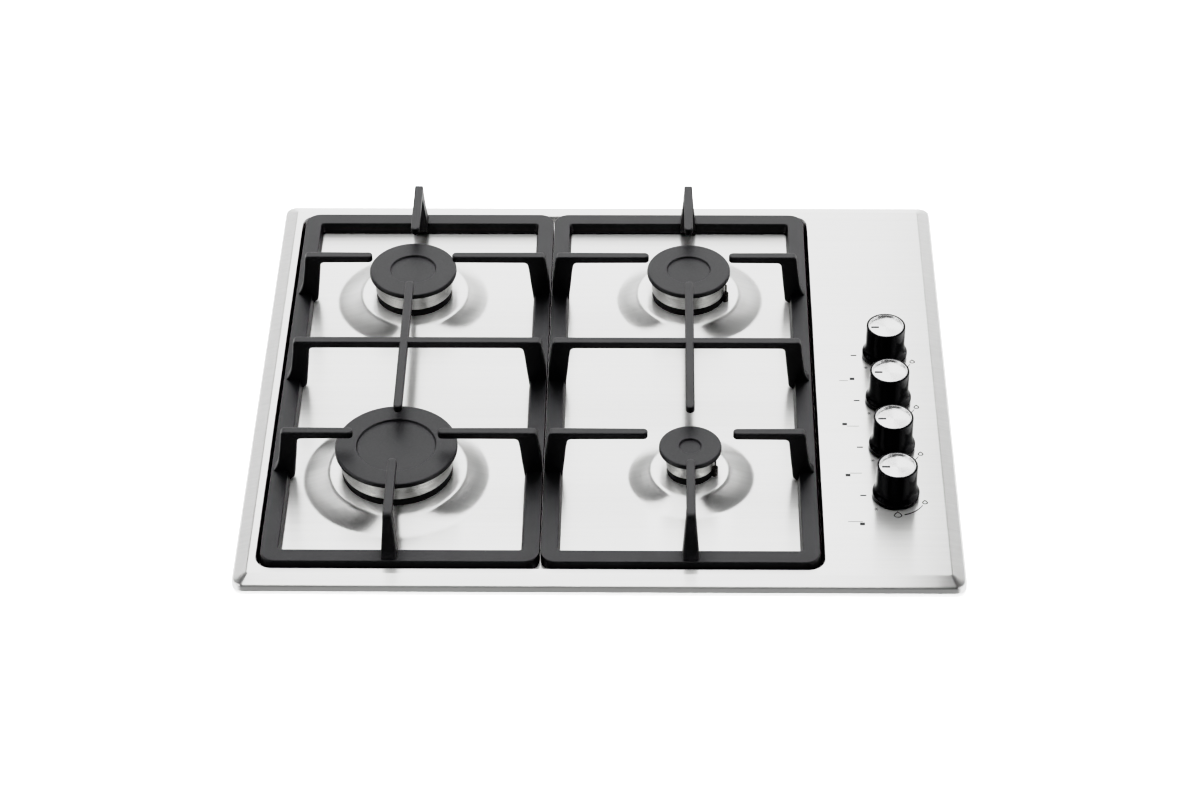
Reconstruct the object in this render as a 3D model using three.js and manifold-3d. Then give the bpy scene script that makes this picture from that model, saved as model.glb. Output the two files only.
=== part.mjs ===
// Built-in gas hob, 60 cm module: a pressed steel top plate with four sealed burners, two cast pan
// supports and a column of four knobs, over a shallow burner box that drops into a worktop.
// Millimetres, +Z up, X to the right, Y to the back. The origin is under the middle of the box.
import * as THREE from 'three';
import { mergeVertices } from 'three/addons/utils/BufferGeometryUtils.js';
import Module from 'manifold-3d';

const wasm = await Module();
wasm.setup();

// ---------------------------------------------------------------- driving dimensions
// Top plate
const PLATE_WIDTH = 580;
const PLATE_DEPTH = 504;
const PLATE_CORNER = 9;
const SHEET = 1;
const LIP_HEIGHT = 5.8;
const BEVEL_WIDTH = 11.2;
const BEVEL_DROP = 3.7;
const BEVEL_MITRE_RADIUS = 1.5;
const RIM_FLAT = 6.4;
const CONTROL_STRIP = 100;
const WELL_DEPTH = 6.6;
const WELL_DRAFT = 1.2;
const WELL_CORNER = 13;
const DOME_HEIGHT = 7.6;
const DOME_RUN = 19.7;

// Burner box and seal
const BOX_BELOW_WORKTOP = 38;
const WORKTOP_CLEARANCE = 0.5;
const BOX_INSET = 13.6;
const BOX_SHEET = 1;
const BOX_CORNER = 12;
const SEAL_THICKNESS = 3.2;
const SEAL_WIDTH = 9.6;
const LEDGE_REACH = 10.6;

// Burners
const BURNER_SPACING_Y = 236;
const BURNERS_BEHIND_FINGERS = 2.5;
const BURNER_FROM_SUPPORT_EDGE = 102.7;
// Radii of the cap, the crown, the raised plateau in the plate and the dish in the cap.
const REAR_LEFT_BURNER = { cap: 37.6, crown: 33.4, plateau: 46.4, recess: 19.9 };
const FRONT_LEFT_BURNER = { cap: 49.9, crown: 45.8, plateau: 56.7, recess: 32.5 };
const REAR_RIGHT_BURNER = { cap: 35.9, crown: 32.1, plateau: 44.3, recess: 19 };
const FRONT_RIGHT_BURNER = { cap: 25.4, crown: 19.6, plateau: 32.5, recess: 9.2 };
const NECK_INSET = 0.8;
const NECK_HEIGHT = 6.5;
const NECK_WALL = 3;
const FLANGE_REACH = 4;
const FLANGE_THICKNESS = 2;
const CUP_BODY_RADIUS = 14.5;
const CUP_DEPTH = 30.1;
const CUP_FLOOR = 3;
const POST_RADIUS = 7;
const POST_HEIGHT = 7;
const INJECTOR_RADIUS = 2.9;
const INJECTOR_HEAD_RADIUS = 5;
const INJECTOR_HEAD_HEIGHT = 5;
const CROWN_HEIGHT = 14.7;
const CROWN_WALL = 3;
const CROWN_LIP = 0.7;
const CROWN_LIP_HEIGHT = 4;
const STEM_RADIUS = 10;
const STEM_BORE = 6.5;
const STEM_LENGTH = 15;
const CAP_THICKNESS = 4.6;
const CAP_EDGE = 1.4;
const CAP_RECESS = 1.2;
const CAP_SPIGOT_HEIGHT = 2;
const CAP_SPIGOT_WALL = 2.5;
// Where the electrode stands round the crown: behind it on the left burners, at its right on the others.
const ELECTRODE_BEHIND = 110;
const ELECTRODE_RIGHT = -18;
const ELECTRODE_FROM_CROWN = 1.9;
const CERAMIC_RADIUS = 2.3;
const CERAMIC_ABOVE_PLATEAU = 9;
const CERAMIC_BELOW_PLATEAU = 25.1;
const PIN_RADIUS = 0.8;
const PIN_LENGTH = 8;
const COLLAR_RADIUS = 3.4;

// Pan supports
const SUPPORT_GAP = 3.3;
const SUPPORT_SEAM = 0.8;
const SUPPORT_CORNER = 9;
const BAR_WIDTH = 13.7;
const BAR_ABOVE_RIM = 4.2;
const BAR_ABOVE_FLOOR = 1.2;
const BAR_EDGE = 0.9;
const PAD_RADIUS = 4.5;
const PAN_PLANE_ABOVE_RIM = 44.4;
const FINGER_WIDTH = 7.2;
const FINGER_DEPTH = 6.5;
const FINGER_EDGE = 0.8;
const FINGER_TAPER = 0.4;
const FINGER_ROOT_OUTER = 12;
const FINGER_ROOT_SEAM = 8;
const LEG_PROUD = 0.15;
const LEG_SPREAD = 6;
const CROSS_LEG_SPREAD = 1.4;
const TIP_GAP_SIDE = 34.6;
const TIP_GAP_REAR_FRONT = 37;
const TIP_GAP_REAR_BACK = 36.8;
const TIP_GAP_FRONT_BACK = 29.7;
const TIP_GAP_FRONT_FRONT = 34.3;

// Knobs and gas taps
const KNOB_PITCH = 60.35;
const KNOB_FROM_RIGHT = 50.9;
const KNOB_FROM_FRONT = 106.4;
const KNOB_TOP = 32.6;
const KNOB_RADIUS = 16.4;
const KNOB_SKIRT_RADIUS = 19;
const KNOB_SKIRT_HEIGHT = 3.5;
const KNOB_TRAVEL = 2;
const KNOB_GAP = 0.4;
const FACE_RADIUS = 14.8;
const FACE_THICKNESS = 0.9;
const SPINDLE_RADIUS = 4;
const SPINDLE_FLAT = 2.6;
const SPINDLE_IN_KNOB = 21;
const PLATE_HOLE_RADIUS = 6;
const TAP_WIDTH = 24;
const TAP_TOP_BELOW_RIM = 14;
const TAP_HEIGHT = 22;
const TAP_BUSH_RADIUS = 8;
const TAP_BUSH_HEIGHT = 11;
const TAP_OUTLET_REACH = 6;
const PLUG_RADIUS = 6;
const PLUG_HEIGHT = 15;
const TANG_LENGTH = 9;
const TANG_THICKNESS = 2.4;
const TANG_WIDTH = 6.6;

// Gas pipes, ignition and cord gland
const MANIFOLD_SIZE = 14;
const MANIFOLD_BORE = 4.5;
const MANIFOLD_OVERRUN = 22;
const MANIFOLD_DROP = 4;
const INLET_FROM_BACK = 91;
const INLET_SIZE = 22;
const INLET_THREAD_RADIUS = 10.3;
const INLET_RECESS_MARGIN = 6;
const INLET_SHORT_OF_BASE = 1;
const TUBE_RADIUS = 3;
const TUBE_BEND = 14;
// Way points of the pipes: how far before the knobs and the burner they bend, and how far behind the tap.
const FRONT_PIPES = { beforeKnobs: 45, start: 10, middle: 62, beforeBurner: 80, end: 40 };
const REAR_PIPES = { beforeKnobs: 40, start: 0, middle: 12, beforeBurner: 75, end: 30 };
const OUTLET_RADIUS = 5;
const LEAD_RADIUS = 1.3;
const GENERATOR = { width: 60, depth: 36, height: 22, fromBack: 66 };
const GLAND_RADIUS = 6;
const GLAND_FLANGE = 2.4;
const GLAND_HEIGHT = 26;

// Clearances
const CLEARANCE = 0.3;
const BIG_ROUND = 24;
const MID_ROUND = 18;
const SMALL_ROUND = 8;

// ---------------------------------------------------------------- heights and places
const WORKTOP_Z = BOX_BELOW_WORKTOP;
const LIP_Z = WORKTOP_Z + WORKTOP_CLEARANCE;
const BEVEL_Z = LIP_Z + LIP_HEIGHT;
const RIM_Z = BEVEL_Z + BEVEL_DROP;
const FLOOR_Z = RIM_Z - WELL_DEPTH;
const PLATEAU_Z = FLOOR_Z + DOME_HEIGHT;
const LEDGE_Z = WORKTOP_Z + SEAL_THICKNESS;
const NECK_TOP_Z = PLATEAU_Z + NECK_HEIGHT;
const CROWN_TOP_Z = NECK_TOP_Z + CROWN_HEIGHT;
const BAR_TOP_Z = RIM_Z + BAR_ABOVE_RIM;
const BAR_BOTTOM_Z = FLOOR_Z + BAR_ABOVE_FLOOR;
const PAN_Z = RIM_Z + PAN_PLANE_ABOVE_RIM;
const FINGER_BOTTOM_Z = PAN_Z - FINGER_DEPTH;
const KNOB_BOTTOM_Z = RIM_Z + KNOB_TRAVEL + KNOB_GAP;
const KNOB_TOP_Z = RIM_Z + KNOB_TOP;
const TAP_TOP_Z = RIM_Z - TAP_TOP_BELOW_RIM;
const TAP_BOTTOM_Z = TAP_TOP_Z - TAP_HEIGHT;
const MANIFOLD_TOP_Z = TAP_TOP_Z - MANIFOLD_DROP;
const MANIFOLD_MID_Z = MANIFOLD_TOP_Z - MANIFOLD_SIZE / 2;
const CUP_BOTTOM_Z = PLATEAU_Z - SHEET - CUP_DEPTH;
const PIPE_Z = CUP_BOTTOM_Z + OUTLET_RADIUS;

const HALF_X = PLATE_WIDTH / 2;
const HALF_Y = PLATE_DEPTH / 2;
const WELL_LEFT = -HALF_X + BEVEL_WIDTH + RIM_FLAT;
const WELL_RIGHT = HALF_X - BEVEL_WIDTH - CONTROL_STRIP;
const WELL_MID_X = (WELL_LEFT + WELL_RIGHT) / 2;
const WELL_HALF_X = (WELL_RIGHT - WELL_LEFT) / 2;
const WELL_HALF_Y = HALF_Y - BEVEL_WIDTH - RIM_FLAT;
const BOX_HALF_X = HALF_X - BOX_INSET;
const BOX_HALF_Y = HALF_Y - BOX_INSET;
const SUPPORT_WIDTH = WELL_HALF_X - SUPPORT_GAP - SUPPORT_SEAM / 2;
const SUPPORT_HALF_Y = WELL_HALF_Y - SUPPORT_GAP;
const BURNER_LEFT_X = WELL_LEFT + SUPPORT_GAP + BURNER_FROM_SUPPORT_EDGE;
const BURNER_RIGHT_X = WELL_RIGHT - SUPPORT_GAP - BURNER_FROM_SUPPORT_EDGE;
const FINGER_Y = BURNER_SPACING_Y / 2;
const REAR_BURNER_Y = FINGER_Y + BURNERS_BEHIND_FINGERS;
const FRONT_BURNER_Y = -FINGER_Y + BURNERS_BEHIND_FINGERS;
const KNOB_X = HALF_X - KNOB_FROM_RIGHT;
const KNOB_FRONT_Y = -HALF_Y + KNOB_FROM_FRONT;
const MANIFOLD_X = KNOB_X + TAP_WIDTH / 2 + MANIFOLD_SIZE / 2;
const INLET_Y = HALF_Y - INLET_FROM_BACK;
const GENERATOR_Y = HALF_Y - GENERATOR.fromBack - GENERATOR.depth / 2;

const BURNERS = [
  { name: 'rear_left', x: BURNER_LEFT_X, y: REAR_BURNER_Y, sparkAngle: ELECTRODE_BEHIND, ...REAR_LEFT_BURNER },
  { name: 'front_left', x: BURNER_LEFT_X, y: FRONT_BURNER_Y, sparkAngle: ELECTRODE_BEHIND, ...FRONT_LEFT_BURNER },
  { name: 'rear_right', x: BURNER_RIGHT_X, y: REAR_BURNER_Y, sparkAngle: ELECTRODE_RIGHT, ...REAR_RIGHT_BURNER },
  { name: 'front_right', x: BURNER_RIGHT_X, y: FRONT_BURNER_Y, sparkAngle: ELECTRODE_RIGHT, ...FRONT_RIGHT_BURNER },
];
// The knobs stand front to back in the order of the burners that they feed.
const TAPS = ['front_right', 'front_left', 'rear_left', 'rear_right'].map((name, i) => ({
  name,
  y: KNOB_FRONT_Y + i * KNOB_PITCH,
}));

// ---------------------------------------------------------------- finishes
const finish = (color, roughness, metalness) => ({ color, roughness, metalness });
const BRUSHED = finish(0xe4e4e2, 0.35, 1);
const GALVANISED = finish(0xa9adb0, 0.5, 0.9);
const CAST_IRON = finish(0x2f2f30, 0.7, 0.1);
const ENAMEL = finish(0x38383a, 0.5, 0);
const ALUMINIUM = finish(0xc9c9c9, 0.35, 1);
const CAST_CUP = finish(0x141414, 0.6, 0.4);
const BRASS = finish(0xb28a45, 0.35, 1);
const CERAMIC = finish(0xe9e6df, 0.4, 0);
const KNOB_BLACK = finish(0x0b0b0c, 0.12, 0);
const SPUN = finish(0xd9d9d9, 0.25, 1);
const STEEL = finish(0x8c8f92, 0.4, 1);
const RUBBER = finish(0x202020, 0.9, 0);
const PLASTIC = finish(0x2a2b2d, 0.5, 0);
const SILICONE = finish(0xa33b2a, 0.6, 0);

const hob = new THREE.Group();

// ---------------------------------------------------------------- solids
function toSolid(geometry) {
  const bare = geometry.clone();
  bare.deleteAttribute('normal');
  bare.deleteAttribute('uv');
  const merged = mergeVertices(bare, 1e-5);
  return new wasm.Manifold(new wasm.Mesh({
    numProp: 3,
    vertProperties: new Float32Array(merged.attributes.position.array),
    triVerts: new Uint32Array(merged.index.array),
  }));
}

function toGeometry(solid) {
  const mesh = solid.getMesh();
  const geometry = new THREE.BufferGeometry();
  geometry.setAttribute('position', new THREE.BufferAttribute(new Float32Array(mesh.vertProperties), 3));
  geometry.setIndex(new THREE.BufferAttribute(new Uint32Array(mesh.triVerts), 1));
  geometry.computeVertexNormals();
  return geometry;
}

function join(...solids) {
  return solids.reduce((sum, next) => sum.add(next));
}

function cut(solid, ...tools) {
  return tools.reduce((left, tool) => left.subtract(tool), solid);
}

function place(name, solid, look) {
  const mesh = new THREE.Mesh(toGeometry(solid), new THREE.MeshStandardMaterial(look));
  mesh.name = name;
  hob.add(mesh);
  return mesh;
}

// A skin over rings of equal point count, closed by a fan at each end. Rings are convex and turn
// anticlockwise when seen against the direction in which they are stacked.
function loft(rings) {
  const count = rings[0].length;
  const positions = rings.flat().flatMap((point) => [point.x, point.y, point.z]);
  const index = [];
  for (let r = 0; r < rings.length - 1; r += 1) {
    for (let i = 0; i < count; i += 1) {
      const a = r * count + i;
      const b = r * count + ((i + 1) % count);
      index.push(a, b, b + count, a, b + count, a + count);
    }
  }
  const last = (rings.length - 1) * count;
  for (let i = 1; i < count - 1; i += 1) {
    index.push(0, i + 1, i, last, last + i, last + i + 1);
  }
  const geometry = new THREE.BufferGeometry();
  geometry.setAttribute('position', new THREE.BufferAttribute(new Float32Array(positions), 3));
  geometry.setIndex(index);
  return toSolid(geometry);
}

// A rounded rectangle at one height, as a ring of points.
function roundRing(midX, midY, halfX, halfY, radius, z, steps = 5) {
  const ring = [];
  const corners = [[1, 1, 0], [-1, 1, 90], [-1, -1, 180], [1, -1, 270]];
  for (const [sx, sy, from] of corners) {
    for (let i = 0; i <= steps; i += 1) {
      const angle = THREE.MathUtils.degToRad(from + (90 * i) / steps);
      const x = midX + sx * (halfX - radius) + radius * Math.cos(angle);
      const y = midY + sy * (halfY - radius) + radius * Math.sin(angle);
      ring.push(new THREE.Vector3(x, y, z));
    }
  }
  return ring;
}

function box(minX, maxX, minY, maxY, minZ, maxZ) {
  const geometry = new THREE.BoxGeometry(maxX - minX, maxY - minY, maxZ - minZ);
  geometry.translate((minX + maxX) / 2, (minY + maxY) / 2, (minZ + maxZ) / 2);
  return toSolid(geometry);
}

// A turned solid standing on the point x, y. The profile is a list of [radius, height].
function turned(profile, x, y, segments) {
  const points = profile.map(([radius, z]) => new THREE.Vector2(radius, z));
  const geometry = new THREE.LatheGeometry(points, segments);
  geometry.rotateX(Math.PI / 2);
  geometry.translate(x, y, 0);
  return toSolid(geometry);
}

function rod(x, y, radius, minZ, maxZ, segments = SMALL_ROUND) {
  return turned([[0, minZ], [radius, minZ], [radius, maxZ], [0, maxZ]], x, y, segments);
}

// A round bar from one point to another.
function barBetween(from, to, radius, segments = SMALL_ROUND) {
  const along = to.clone().sub(from);
  const geometry = new THREE.CylinderGeometry(radius, radius, along.length(), segments);
  geometry.applyQuaternion(new THREE.Quaternion().setFromUnitVectors(
    new THREE.Vector3(0, 1, 0),
    along.clone().normalize(),
  ));
  const middle = from.clone().add(to).multiplyScalar(0.5);
  geometry.translate(middle.x, middle.y, middle.z);
  return toSolid(geometry);
}

// A tube that runs straight between its points and turns each corner on a curve.
function bentTube(points, radius, bend, sides, steps) {
  const path = new THREE.CurvePath();
  let start = points[0];
  for (let i = 1; i < points.length - 1; i += 1) {
    const corner = points[i];
    const back = start.clone().sub(corner);
    const ahead = points[i + 1].clone().sub(corner);
    const reach = Math.min(bend, back.length() * 0.45, ahead.length() * 0.45);
    const into = corner.clone().add(back.setLength(reach));
    const out = corner.clone().add(ahead.setLength(reach));
    path.add(new THREE.LineCurve3(start, into));
    path.add(new THREE.QuadraticBezierCurve3(into, corner, out));
    start = out;
  }
  path.add(new THREE.LineCurve3(start, points[points.length - 1]));
  const section = new THREE.Shape();
  for (let i = 0; i < sides; i += 1) {
    const angle = (i / sides) * 2 * Math.PI;
    const x = radius * Math.cos(angle);
    const y = radius * Math.sin(angle);
    if (i === 0) {
      section.moveTo(x, y);
    } else {
      section.lineTo(x, y);
    }
  }
  section.closePath();
  return toSolid(new THREE.ExtrudeGeometry(section, { steps, extrudePath: path, bevelEnabled: false }));
}

// ---------------------------------------------------------------- top plate
// The outside of the pressing, shrunk by one sheet thickness for its inside.
function plateMass(inset) {
  const lip = roundRing(0, 0, HALF_X - inset, HALF_Y - inset, PLATE_CORNER, LIP_Z - (inset ? SHEET : 0));
  const edge = roundRing(0, 0, HALF_X - inset, HALF_Y - inset, PLATE_CORNER, BEVEL_Z - inset / 2);
  const halfX = HALF_X - BEVEL_WIDTH - inset / 2;
  const halfY = HALF_Y - BEVEL_WIDTH - inset / 2;
  const rim = roundRing(0, 0, halfX, halfY, BEVEL_MITRE_RADIUS, RIM_Z - inset);
  const top = RIM_Z + SHEET;
  const pocket = loft([
    roundRing(WELL_MID_X, 0, WELL_HALF_X - WELL_DRAFT + inset, WELL_HALF_Y - WELL_DRAFT + inset,
      WELL_CORNER, FLOOR_Z - inset),
    roundRing(WELL_MID_X, 0, WELL_HALF_X + inset, WELL_HALF_Y + inset, WELL_CORNER, RIM_Z - inset),
    roundRing(WELL_MID_X, 0, WELL_HALF_X + inset, WELL_HALF_Y + inset, WELL_CORNER, top),
  ]);
  let mass = cut(loft([lip, edge, rim]), pocket);
  for (const burner of BURNERS) {
    const foot = FLOOR_Z - inset - SHEET;
    const plateauZ = PLATEAU_Z - inset;
    const spread = (SHEET * DOME_RUN) / DOME_HEIGHT;
    mass = join(mass, turned([
      [0, foot],
      [burner.plateau + DOME_RUN + spread, foot],
      [burner.plateau, plateauZ],
      [0, plateauZ],
    ], burner.x, burner.y, BIG_ROUND));
  }
  return mass;
}

function neckRadius(burner) {
  return burner.crown - NECK_INSET;
}

function electrodePlace(burner) {
  const angle = THREE.MathUtils.degToRad(burner.sparkAngle);
  const reach = burner.crown + ELECTRODE_FROM_CROWN;
  return { x: burner.x + reach * Math.cos(angle), y: burner.y + reach * Math.sin(angle) };
}

function buildTopPlate() {
  let plate = cut(plateMass(0), plateMass(SHEET));
  for (const burner of BURNERS) {
    const spark = electrodePlace(burner);
    const low = FLOOR_Z - SHEET;
    plate = cut(
      plate,
      rod(burner.x, burner.y, neckRadius(burner) + CLEARANCE, low, PLATEAU_Z + SHEET, BIG_ROUND),
      rod(spark.x, spark.y, CERAMIC_RADIUS + CLEARANCE, low, PLATEAU_Z + SHEET),
    );
  }
  for (const tap of TAPS) {
    plate = cut(plate, rod(KNOB_X, tap.y, PLATE_HOLE_RADIUS, RIM_Z - 2 * SHEET, RIM_Z + SHEET));
  }
  place('top_plate', plate, BRUSHED);
}

// ---------------------------------------------------------------- burner box, seal and gland
function inletRecess(grow) {
  const reach = INLET_SIZE / 2 + INLET_RECESS_MARGIN;
  return box(
    MANIFOLD_X - reach - grow, HALF_X,
    INLET_Y - reach - grow, INLET_Y + reach + grow,
    -BOX_SHEET, MANIFOLD_MID_Z - INLET_SIZE / 2 - BOX_SHEET + grow,
  );
}

function buildBurnerBox() {
  const topZ = RIM_Z - SHEET;
  const outside = cut(loft([
    roundRing(0, 0, BOX_HALF_X, BOX_HALF_Y, BOX_CORNER, 0),
    roundRing(0, 0, BOX_HALF_X, BOX_HALF_Y, BOX_CORNER, topZ),
  ]), inletRecess(0));
  const innerX = BOX_HALF_X - BOX_SHEET;
  const innerY = BOX_HALF_Y - BOX_SHEET;
  const inside = cut(loft([
    roundRing(0, 0, innerX, innerY, BOX_CORNER - BOX_SHEET, BOX_SHEET),
    roundRing(0, 0, innerX, innerY, BOX_CORNER - BOX_SHEET, topZ + SHEET),
  ]), inletRecess(BOX_SHEET));
  const cordHole = barBetween(
    new THREE.Vector3(WELL_MID_X, innerY - BOX_SHEET, GLAND_HEIGHT),
    new THREE.Vector3(WELL_MID_X, BOX_HALF_Y + BOX_SHEET, GLAND_HEIGHT),
    GLAND_RADIUS + CLEARANCE,
  );
  const inletHole = rod(MANIFOLD_X, INLET_Y, INLET_THREAD_RADIUS + CLEARANCE, 0, MANIFOLD_MID_Z, MID_ROUND);
  place('burner_box', cut(outside, inside, cordHole, inletHole), GALVANISED);
}

// A flat frame round the box, from `inner` outside its walls to the end of the ledge.
function aroundBox(inner, bottomZ, topZ) {
  const ring = (reach, corner, z) => roundRing(0, 0, BOX_HALF_X + reach, BOX_HALF_Y + reach, corner, z);
  return cut(
    loft([ring(LEDGE_REACH, PLATE_CORNER, bottomZ), ring(LEDGE_REACH, PLATE_CORNER, topZ)]),
    loft([ring(inner, BOX_CORNER + inner, bottomZ - SHEET), ring(inner, BOX_CORNER + inner, topZ + SHEET)]),
  );
}

function buildLedge() {
  place('box_ledge', aroundBox(CLEARANCE, LEDGE_Z, LEDGE_Z + BOX_SHEET), GALVANISED);
}

function buildSeal() {
  place('worktop_seal', aroundBox(LEDGE_REACH - SEAL_WIDTH, WORKTOP_Z, LEDGE_Z), RUBBER);
}

function buildGland() {
  const wallIn = BOX_HALF_Y - BOX_SHEET;
  const reach = GLAND_FLANGE + CLEARANCE;
  const span = (from, to, radius) => barBetween(
    new THREE.Vector3(WELL_MID_X, from, GLAND_HEIGHT),
    new THREE.Vector3(WELL_MID_X, to, GLAND_HEIGHT),
    radius,
  );
  const gland = cut(
    join(
      span(wallIn - reach, BOX_HALF_Y + reach, GLAND_RADIUS),
      span(wallIn - reach, wallIn - CLEARANCE, GLAND_RADIUS + GLAND_FLANGE),
      span(BOX_HALF_Y + CLEARANCE, BOX_HALF_Y + reach, GLAND_RADIUS + GLAND_FLANGE),
    ),
    span(wallIn - 2 * reach, BOX_HALF_Y + 2 * reach, GLAND_RADIUS / 2),
  );
  place('mains_cord_gland', gland, RUBBER);
}

// ---------------------------------------------------------------- burners
// The side of the cup that its gas pipe comes to, as a unit vector.
const PIPE_SIDES = {
  front_right: new THREE.Vector3(1, 0, 0),
  front_left: new THREE.Vector3(Math.cos(0.7), Math.sin(0.7), 0),
  rear_left: new THREE.Vector3(Math.cos(-0.9), Math.sin(-0.9), 0),
  rear_right: new THREE.Vector3(Math.cos(-0.8), Math.sin(-0.8), 0),
};

function pipePoint(burner, reach) {
  return new THREE.Vector3(burner.x, burner.y, PIPE_Z).addScaledVector(PIPE_SIDES[burner.name], reach);
}

const OUTLET_END = CUP_BODY_RADIUS + TAP_OUTLET_REACH;

function buildCup(burner) {
  const neck = neckRadius(burner);
  const underZ = PLATEAU_Z - SHEET;
  const flangeZ = underZ - FLANGE_THICKNESS;
  const floorZ = CUP_BOTTOM_Z + CUP_FLOOR;
  const bodyIn = CUP_BODY_RADIUS - CUP_FLOOR;
  const body = turned([
    [0, CUP_BOTTOM_Z],
    [CUP_BODY_RADIUS, CUP_BOTTOM_Z],
    [CUP_BODY_RADIUS, flangeZ],
    [neck + FLANGE_REACH, flangeZ],
    [neck + FLANGE_REACH, underZ],
    [neck, underZ],
    [neck, NECK_TOP_Z],
    [neck - NECK_WALL, NECK_TOP_Z],
    [neck - NECK_WALL, underZ],
    [bodyIn, underZ],
    [bodyIn, floorZ],
    [POST_RADIUS, floorZ],
    [POST_RADIUS, floorZ + POST_HEIGHT],
    [0, floorZ + POST_HEIGHT],
  ], burner.x, burner.y, BIG_ROUND);
  const outlet = barBetween(pipePoint(burner, bodyIn + SHEET), pipePoint(burner, OUTLET_END), OUTLET_RADIUS);
  const spark = electrodePlace(burner);
  const cup = cut(
    join(body, outlet),
    rod(burner.x, burner.y, INJECTOR_RADIUS + CLEARANCE, floorZ, floorZ + 2 * POST_HEIGHT),
    barBetween(pipePoint(burner, 0), pipePoint(burner, OUTLET_END + SHEET), TUBE_RADIUS / 2, 8),
    rod(spark.x, spark.y, COLLAR_RADIUS + CLEARANCE, CUP_BOTTOM_Z, underZ + SHEET),
    rod(spark.x, spark.y, CERAMIC_RADIUS + CLEARANCE, CUP_BOTTOM_Z, CROWN_TOP_Z),
  );
  place(`burner_cup_${burner.name}`, cup, CAST_CUP);
}

function buildInjector(burner) {
  const postTop = CUP_BOTTOM_Z + CUP_FLOOR + POST_HEIGHT;
  const jet = INJECTOR_RADIUS / 4;
  place(`injector_${burner.name}`, turned([
    [jet, postTop - POST_HEIGHT + CLEARANCE],
    [INJECTOR_RADIUS, postTop - POST_HEIGHT + CLEARANCE],
    [INJECTOR_RADIUS, postTop],
    [INJECTOR_HEAD_RADIUS, postTop],
    [INJECTOR_HEAD_RADIUS, postTop + INJECTOR_HEAD_HEIGHT * 0.7],
    [INJECTOR_HEAD_RADIUS * 0.6, postTop + INJECTOR_HEAD_HEIGHT],
    [jet, postTop + INJECTOR_HEAD_HEIGHT],
    [jet, postTop - POST_HEIGHT + CLEARANCE],
  ], burner.x, burner.y, 6), BRASS);
}

function buildSpreader(burner) {
  const outer = burner.crown;
  const inner = outer - CROWN_WALL;
  const floorZ = NECK_TOP_Z + CROWN_WALL;
  const ring = turned([
    [STEM_BORE, NECK_TOP_Z - STEM_LENGTH],
    [STEM_RADIUS, NECK_TOP_Z - STEM_LENGTH],
    [STEM_RADIUS, NECK_TOP_Z],
    [outer, NECK_TOP_Z],
    [outer, CROWN_TOP_Z - CROWN_LIP_HEIGHT],
    [outer + CROWN_LIP, CROWN_TOP_Z - CROWN_LIP_HEIGHT + CROWN_LIP],
    [outer + CROWN_LIP, CROWN_TOP_Z],
    [inner, CROWN_TOP_Z],
    [inner, floorZ],
    [STEM_BORE, floorZ],
    [STEM_BORE, NECK_TOP_Z - STEM_LENGTH],
  ], burner.x, burner.y, BIG_ROUND);
  const spark = electrodePlace(burner);
  const notch = rod(spark.x, spark.y, CERAMIC_RADIUS + CLEARANCE, NECK_TOP_Z - SHEET, CROWN_TOP_Z + SHEET);
  place(`flame_spreader_${burner.name}`, cut(ring, notch), ALUMINIUM);
}

function buildCap(burner) {
  const spigot = burner.crown - CROWN_WALL - CLEARANCE;
  const topZ = CROWN_TOP_Z + CAP_THICKNESS;
  place(`burner_cap_${burner.name}`, turned([
    [0, CROWN_TOP_Z],
    [spigot - CAP_SPIGOT_WALL, CROWN_TOP_Z],
    [spigot - CAP_SPIGOT_WALL, CROWN_TOP_Z - CAP_SPIGOT_HEIGHT],
    [spigot, CROWN_TOP_Z - CAP_SPIGOT_HEIGHT],
    [spigot, CROWN_TOP_Z],
    [burner.cap - CAP_EDGE / 2, CROWN_TOP_Z],
    [burner.cap, CROWN_TOP_Z + CAP_EDGE],
    [burner.cap, topZ - CAP_EDGE],
    [burner.cap - CAP_EDGE, topZ],
    [burner.recess, topZ],
    [burner.recess - CAP_RECESS / 2, topZ - CAP_RECESS],
    [0, topZ - CAP_RECESS],
  ], burner.x, burner.y, BIG_ROUND), ENAMEL);
}

function buildElectrode(burner) {
  const spark = electrodePlace(burner);
  const underZ = PLATEAU_Z - SHEET;
  const topZ = PLATEAU_Z + CERAMIC_ABOVE_PLATEAU;
  const electrode = turned([
    [0, PLATEAU_Z - CERAMIC_BELOW_PLATEAU],
    [CERAMIC_RADIUS, PLATEAU_Z - CERAMIC_BELOW_PLATEAU],
    [CERAMIC_RADIUS, underZ - FLANGE_THICKNESS],
    [COLLAR_RADIUS, underZ - FLANGE_THICKNESS],
    [COLLAR_RADIUS, underZ],
    [CERAMIC_RADIUS, underZ],
    [CERAMIC_RADIUS, topZ],
    [PIN_RADIUS, topZ],
    [PIN_RADIUS, topZ + PIN_LENGTH],
    [0, topZ + PIN_LENGTH],
  ], spark.x, spark.y, SMALL_ROUND);
  place(`spark_electrode_${burner.name}`, electrode, CERAMIC);
}

// ---------------------------------------------------------------- ignition
const GENERATOR_TOP_Z = BOX_SHEET + GENERATOR.height;
const LEAD_Z = BOX_SHEET + 3 * LEAD_RADIUS;
const LEAD_BEND = 8;

function buildGenerator() {
  const half = GENERATOR.width / 2;
  const minY = GENERATOR_Y - GENERATOR.depth / 2;
  const maxY = GENERATOR_Y + GENERATOR.depth / 2;
  const rings = [[BOX_SHEET, 0], [GENERATOR_TOP_Z - SHEET, 0], [GENERATOR_TOP_Z, SHEET]].map(([z, inset]) => (
    roundRing(WELL_MID_X, (minY + maxY) / 2, half - inset, (maxY - minY) / 2 - inset, 3, z, 2)
  ));
  place('spark_generator', loft(rings), PLASTIC);
}

// Each lead leaves the front of the generator, lies near the floor of the box and rises under its electrode.
const LEAD_EXITS = { rear_left: -1.5, front_left: -0.5, front_right: 0.5, rear_right: 1.5 };

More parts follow.
